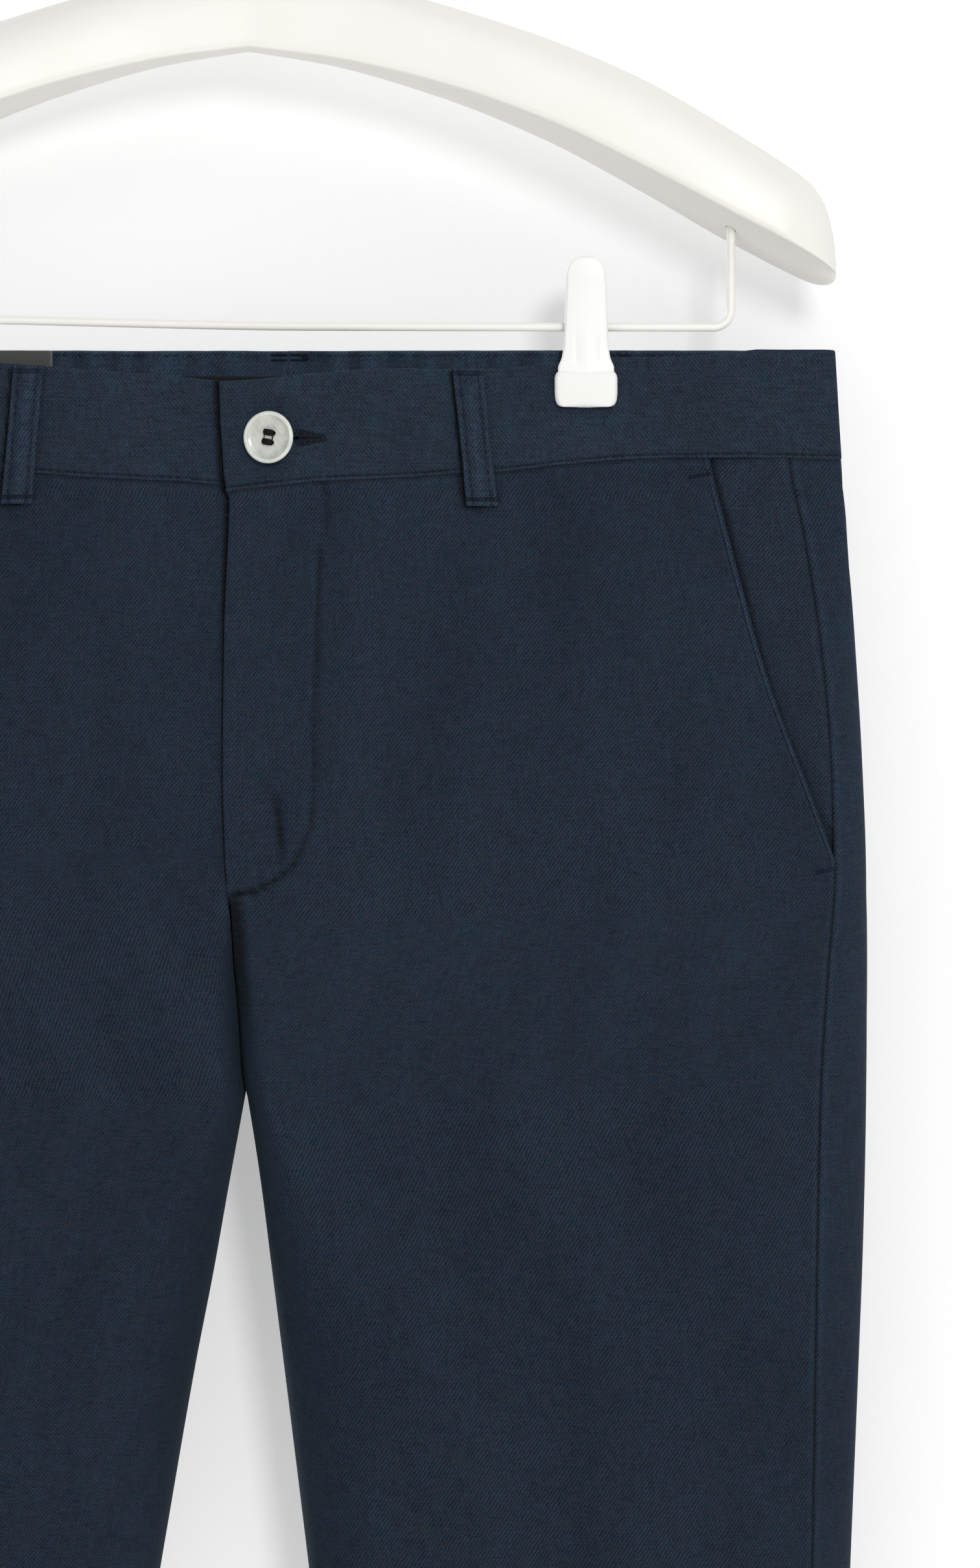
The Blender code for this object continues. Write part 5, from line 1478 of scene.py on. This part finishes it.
def paper(name):
    """Matt seamless paper, lit evenly enough that only soft shadows show on it. It is laid on one
    side only, so that the object can be seen from behind too."""
    made, tree = new_finish(name)
    fibre = add(tree, "TexNoise", {"Vector": in_mm(tree, "object"), "Scale": 0.9})
    pulp = add(tree, "Mix", {0: fibre, 6: linear("#cbcbcb"), 7: linear("#cdcdcd")}, data_type="RGBA")
    shader = add(tree, "BsdfPrincipled", {
        "Base Color": pulp, "Roughness": 0.95, "Specular IOR Level": 0.0,
        "Emission Color": (1, 1, 1, 1), "Emission Strength": 0.375,
    })
    behind = add(tree, "NewGeometry").outputs["Backfacing"]
    seen = add(tree, "MixShader", {0: behind, 1: shader, 2: add(tree, "BsdfTransparent")})
    add(tree, "OutputMaterial", {"Surface": seen})
    return made


front_twill = linen_twill("linen_twill_front", 52, "#101822", "#233142", 1)
back_twill = linen_twill("linen_twill_back", 50, "#101822", "#233142", 2)
facing_twill = linen_twill("linen_twill_facing", 48, "#111822", "#283646", 3)
band_twill = linen_twill("linen_twill_waistband", -50, "#101822", "#293848", 4, 0.62, True)
loop_twill = linen_twill("linen_twill_belt_loop", 58, "#101822", "#2a394a", 5, 0.75)
pocketing = woven_tape("cotton_pocketing", "#10161e", "#222e3c", 0.9, 40)
dark_lining = woven_tape("cotton_twill_lining", "#0d0e0d", "#222422", 1.0, 40)
label_tape = woven_tape("woven_label_tape", "#434341", "#4f4f4c", 0.3, 90)
zip_tape = woven_tape("woven_zip_tape", "#0f151d", "#1f2937", 0.8, 90)
coil_nylon = moulded("nylon_zip_coil", "#141c27", "#0e141c", 0.45, 0.5, 0.02)
slider_paint = moulded("painted_zinc_slider", "#151c26", "#10161e", 0.35, 0.6, 0.02)
thread = sewing_thread("polyester_thread_navy", "#05070c", "#111726")
button_twist = sewing_thread("polyester_thread_black", "#020203", "#0b0b0e")
pearl = mother_of_pearl("trochus_mother_of_pearl", button_place()[1].translation)
hanger_white = moulded("moulded_abs_hanger", "#e6e4df", "#e1ded7", 0.42, 0.7, 0.03)
clip_white = moulded("moulded_abs_clip", "#e8e7e5", "#e4e3e1", 0.45, 0.6, 0.02)
pad_white = moulded("soft_vinyl_jaw", "#e6e5e2", "#e2e1dd", 0.6, 0.5, 0.03)
wire_white = moulded("powder_coated_wire", "#e6e5e0", "#e3e1db", 0.4, 0.4, 0.03)
hook_chrome = bright_metal("chromed_steel_wire", "#cfd0d1", 0.08, 0.8)
spring_bright = bright_metal("bright_spring_strip", "#bfc0c2", 0.24, 0.5)
pale = paper("pale_paper")


# ---------------------------------------------------------------- the garment put together

fronts, backs, facings, bags, bands = {}, {}, {}, {}, {}
for side, word in SIDES:
    fronts[side] = body_panel(side, word, True, 240, 90, front_twill)
    backs[side] = body_panel(side, word, False, 170, 90, back_twill)
    bands[side] = waistband(side, word, band_twill)
    facings[side], bags[side] = pocket_pieces(side, word, facing_twill, pocketing)
shield, zip_piece = fly_pieces(front_twill, zip_tape)
coil, slider = zip_coil(coil_nylon), zip_slider(slider_paint)
cut_buttonhole(bands[1])
loops = {name: belt_loop(name, loop_twill) for name in LOOPS}
lining = inside_back("cotton_waistband_lining", "waistband_lining", -108, 108, 9.5, 39.5, 1.0,
                     dark_lining)
label = inside_back("woven_label", "label", -110, -72, 0.1, 8.4, 0.8, label_tape, 0.9)

# ---------------------------------------------------------------- stitching

trees = {item.name: tree_of(item.data) for item in
         [*fronts.values(), *backs.values(), *bands.values(), *loops.values(), *facings.values()]}


def run_of(function, start, end, steps):
    """Places along a line that function gives, at even steps from start to end."""
    return [function(start + (end - start) * i / steps) for i in range(steps + 1)]


def beside_pocket(side, drop):
    """The pocket's row of stitches, square off its slanted edge."""
    slope = 0.31
    return side * (float(at(POCKET_EDGE, "across", drop)) - POCKET_ROW * math.hypot(1, slope)), drop


def along_loop(name, drop, offset=0.0):
    """X and drop of a place on a belt loop, offset across it."""
    side, _, top_across, low_across, top_drop, low_drop = LOOPS[name]
    share = (drop - top_drop) / (low_drop - top_drop)
    return side * (top_across + share * (low_across - top_across) + offset), drop


seam_bits, fly_bits, pocket_bits, loop_bits, hem_bits, bar_bits = [], [], [], [], [], []
hem_line = HEM_DROP - HEM_DEEP
for side, word in SIDES:
    band, front, back = ([trees["linen_%s_%s" % (part, word)]] for part in ("waistband", "front", "back"))
    start = -8.0 if side > 0 else 12.5
    seam_bits += sew(band, run_of(lambda x: (side * x, float(band_seam(x, 0)) - WAIST_ROW), start, 211, 40))
    seam_bits += sew(band, run_of(lambda x: (side * x, BACK_BAND_SEAM - WAIST_ROW), 15, 211, 20), "back")
    for face in ("back", "inside back"):
        seam_bits += sew(band, run_of(lambda x: (side * x, TOP_ROW), 14, 208, 20), face)
    pocket_bits += sew(front, run_of(lambda drop: beside_pocket(side, drop), 43, 190, 40))
    bar_bits += bartack(front, (side * 161.7, 47.2), (side * 169.8, 45.6), rows=1, height=1.3)
    bar_bits += bartack(front, (side * 207.4, 192.0), (side * 214.6, 190.4), apart=0.95, height=0.4,
                        radius=0.2)
    inner = float(at(LEG_INNER, word, hem_line)) + 4
    for face, panel, outer in (("front", front, 203), ("back", back, 212)):
        hem_bits += sew(panel, run_of(lambda x: (side * x, hem_line), inner, outer, 20), face, HEM_PITCH)
# The centre back loop's folded end is tacked through the band.
inside_left, inside_right = [trees["linen_waistband_left"]], [trees["linen_waistband_right"]]
for drop in (1.6, 3.5):
    for band, start, end in ((inside_left, 15.2, 21.6), (inside_right, 8.2, 14.2)):
        bar_bits += bartack(band, (start, drop), (end, drop), "inside back", apart=0.4, height=0.3)
bar_bits += bartack(inside_left, (19.6, 2.6), (22.0, 2.4), "inside back", height=1.0)
both_fronts = [trees["linen_front_left"], trees["linen_front_right"]]
fly_bits += sew(both_fronts[:1], FLY_STITCH)
bar_bits += bartack(both_fronts, (-5.6, 199.9), (0.6, 199.4), apart=0.9, height=0.4, radius=0.22)

for name, (side, face, _, _, top_drop, low_drop) in LOOPS.items():
    word = dict(SIDES)[side]
    below = [trees["linen_" + part] for part in (name, "waistband_" + word, face + "_" + word)]
    reach = LOOP_WIDTH / 2 - LOOP_STITCH
    for offset in (-reach, reach):
        row = run_of(lambda drop: along_loop(name, drop, offset), top_drop + 3.4, low_drop - 3.6, 12)
        loop_bits += sew(below[:1], row, face, LOOP_PITCH)
    for drop, before, after in ((top_drop + 2.2, 1.7, -0.6), (low_drop - 2.6, 0.2, 1.2)):
        middle = along_loop(name, drop)[0]
        ends = (middle - LOOP_WIDTH / 2 - before, drop), (middle + LOOP_WIDTH / 2 + after, drop)
        bar_bits += bartack(below, *ends, face, apart=1.05, height=0.3, radius=0.18)

sewn = {name: thread_bits(name, bits, thread) for name, bits in (
    ("waistband_stitches", seam_bits), ("fly_stitches", fly_bits), ("pocket_stitches", pocket_bits),
    ("belt_loop_stitches", loop_bits), ("hem_stitches", hem_bits), ("bartacks", bar_bits))}
buttonhole = buttonhole_stitches(inside_left, thread)
button, sewing = make_button(pearl), button_thread(button_twist)

# ---------------------------------------------------------------- hanger

hanger_body(hanger_white)
jaws = {side: [clip_side(side, word, face, clip_white, pad_white) for face in ("front", "back")]
        for side, word in SIDES}
wire("coated_bar", bar_path(), BAR_RADIUS, wire_white, "trouser_bar")
wire("steel_hook", hook_path(), HOOK_RADIUS, hook_chrome, "hanger_hook")
for node in ("clip_left_spring", "clip_right_spring"):
    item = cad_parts[node]
    item.data.materials.clear()
    item.data.materials.append(spring_bright)


# ---------------------------------------------------------------- the cut of each cloth piece, as areas that are not kept


def cut_as(area=None):
    """Takes the area a sheet is cut to, in square cm, turns it to square metres and keeps nothing."""
    area = None if area is None else area * 1e-4


cut_as(176)
cut_as(196)
cut_as(967)
cut_as(930)
cut_as(1205)
cut_as(1215)
for side, word in SIDES:
    cut_as(56)
    cut_as(147)
for name, loop in loops.items():
    cut_as(None)
cut_as()
cut_as(None)
cut_as()
cut_as()

# ---------------------------------------------------------------- room, light and camera

FLOOR_Z, WALL_Y = -1.3, 0.052
CAMERA_BACK = 2.4
HALF_VIEW = 0.2881  # half of what the camera sees from top to bottom, at the object
SENSOR = 36


def place_object(name, data, place=(0, 0, 0)):
    """An object in the scene that is no piece: a light, the camera or the room."""
    made = bpy.data.objects.new(name, data)
    bpy.context.collection.objects.link(made)
    made.location = place
    return made


# Each light: where it is, where it aims, its size in metres, its watts and its colour.
LIGHTS = {
    "key": ((0.68, -3.0, 0.5), (0.08, 0, -0.2), (0.55, 0.55), 41, (1, 1, 1)),
    "overhead": ((0.45, -0.9, 0.75), (0.1, 0, -0.4), (1.4, 0.5), 6, (1, 1, 1)),
    "side": ((2.0, -0.7, 0.0), (0.15, 0, -0.4), (0.5, 1.6), 2, (1, 1, 1)),
    "bounce": ((0.2, -0.6, -1.25), (0.15, 0, -0.3), (1.6, 0.9), 3, (1, 0.97, 0.86)),
    "behind": ((-1.9, 2.2, 0.7), (0, 0, -0.4), (0.9, 0.9), 38, (1, 1, 1)),
    "fill": ((-1.8, -2.6, 0.1), (0, 0, -0.35), (2.0, 2.0), 9, (1, 1, 1)),
}
for name, (place, aim, size, power, colour) in LIGHTS.items():
    light = bpy.data.lights.new(name, "AREA")
    light.shape, (light.size, light.size_y) = "RECTANGLE", size
    light.energy, light.color = power, colour
    lamp = place_object(name, light, place)
    lamp.rotation_mode = "QUATERNION"
    lamp.rotation_quaternion = (Vector(aim) - Vector(place)).to_track_quat("-Z", "Y")

world = bpy.data.worlds.new("studio")
bpy.context.scene.world = world
world.use_nodes = True
background = world.node_tree.nodes["Background"]
background.inputs["Color"].default_value = (0.9, 0.91, 0.93, 1)
background.inputs["Strength"].default_value = 0.28

# The light behind reaches the object's back through the backdrop, which throws no shadow.
for name, near, far, shadow in (
    ("backdrop", (WALL_Y, FLOOR_Z), (WALL_Y, 2.5), False), ("floor", (-4, FLOOR_Z), (WALL_Y, FLOOR_Z), True),
):
    mesh = bpy.data.meshes.new(name)
    mesh.from_pydata([(-4, *near), (4, *near), (4, *far), (-4, *far)], [], [(0, 1, 2, 3)])
    mesh.materials.append(pale)
    sheet = place_object(name, mesh)
    sheet.visible_shadow = shadow

lens = bpy.data.cameras.new("camera")
lens.sensor_fit, lens.sensor_width = "AUTO", SENSOR
lens.lens = SENSOR / 2 * CAMERA_BACK / HALF_VIEW
lens.clip_start, lens.clip_end = 0.05, 20
camera = place_object("camera", lens, (0.0888, -CAMERA_BACK, WAIST_Z * MM - 0.1595))
camera.rotation_euler = (math.pi / 2, 0, 0)
bpy.context.scene.camera = camera
bpy.context.scene.view_settings.view_transform = "Standard"
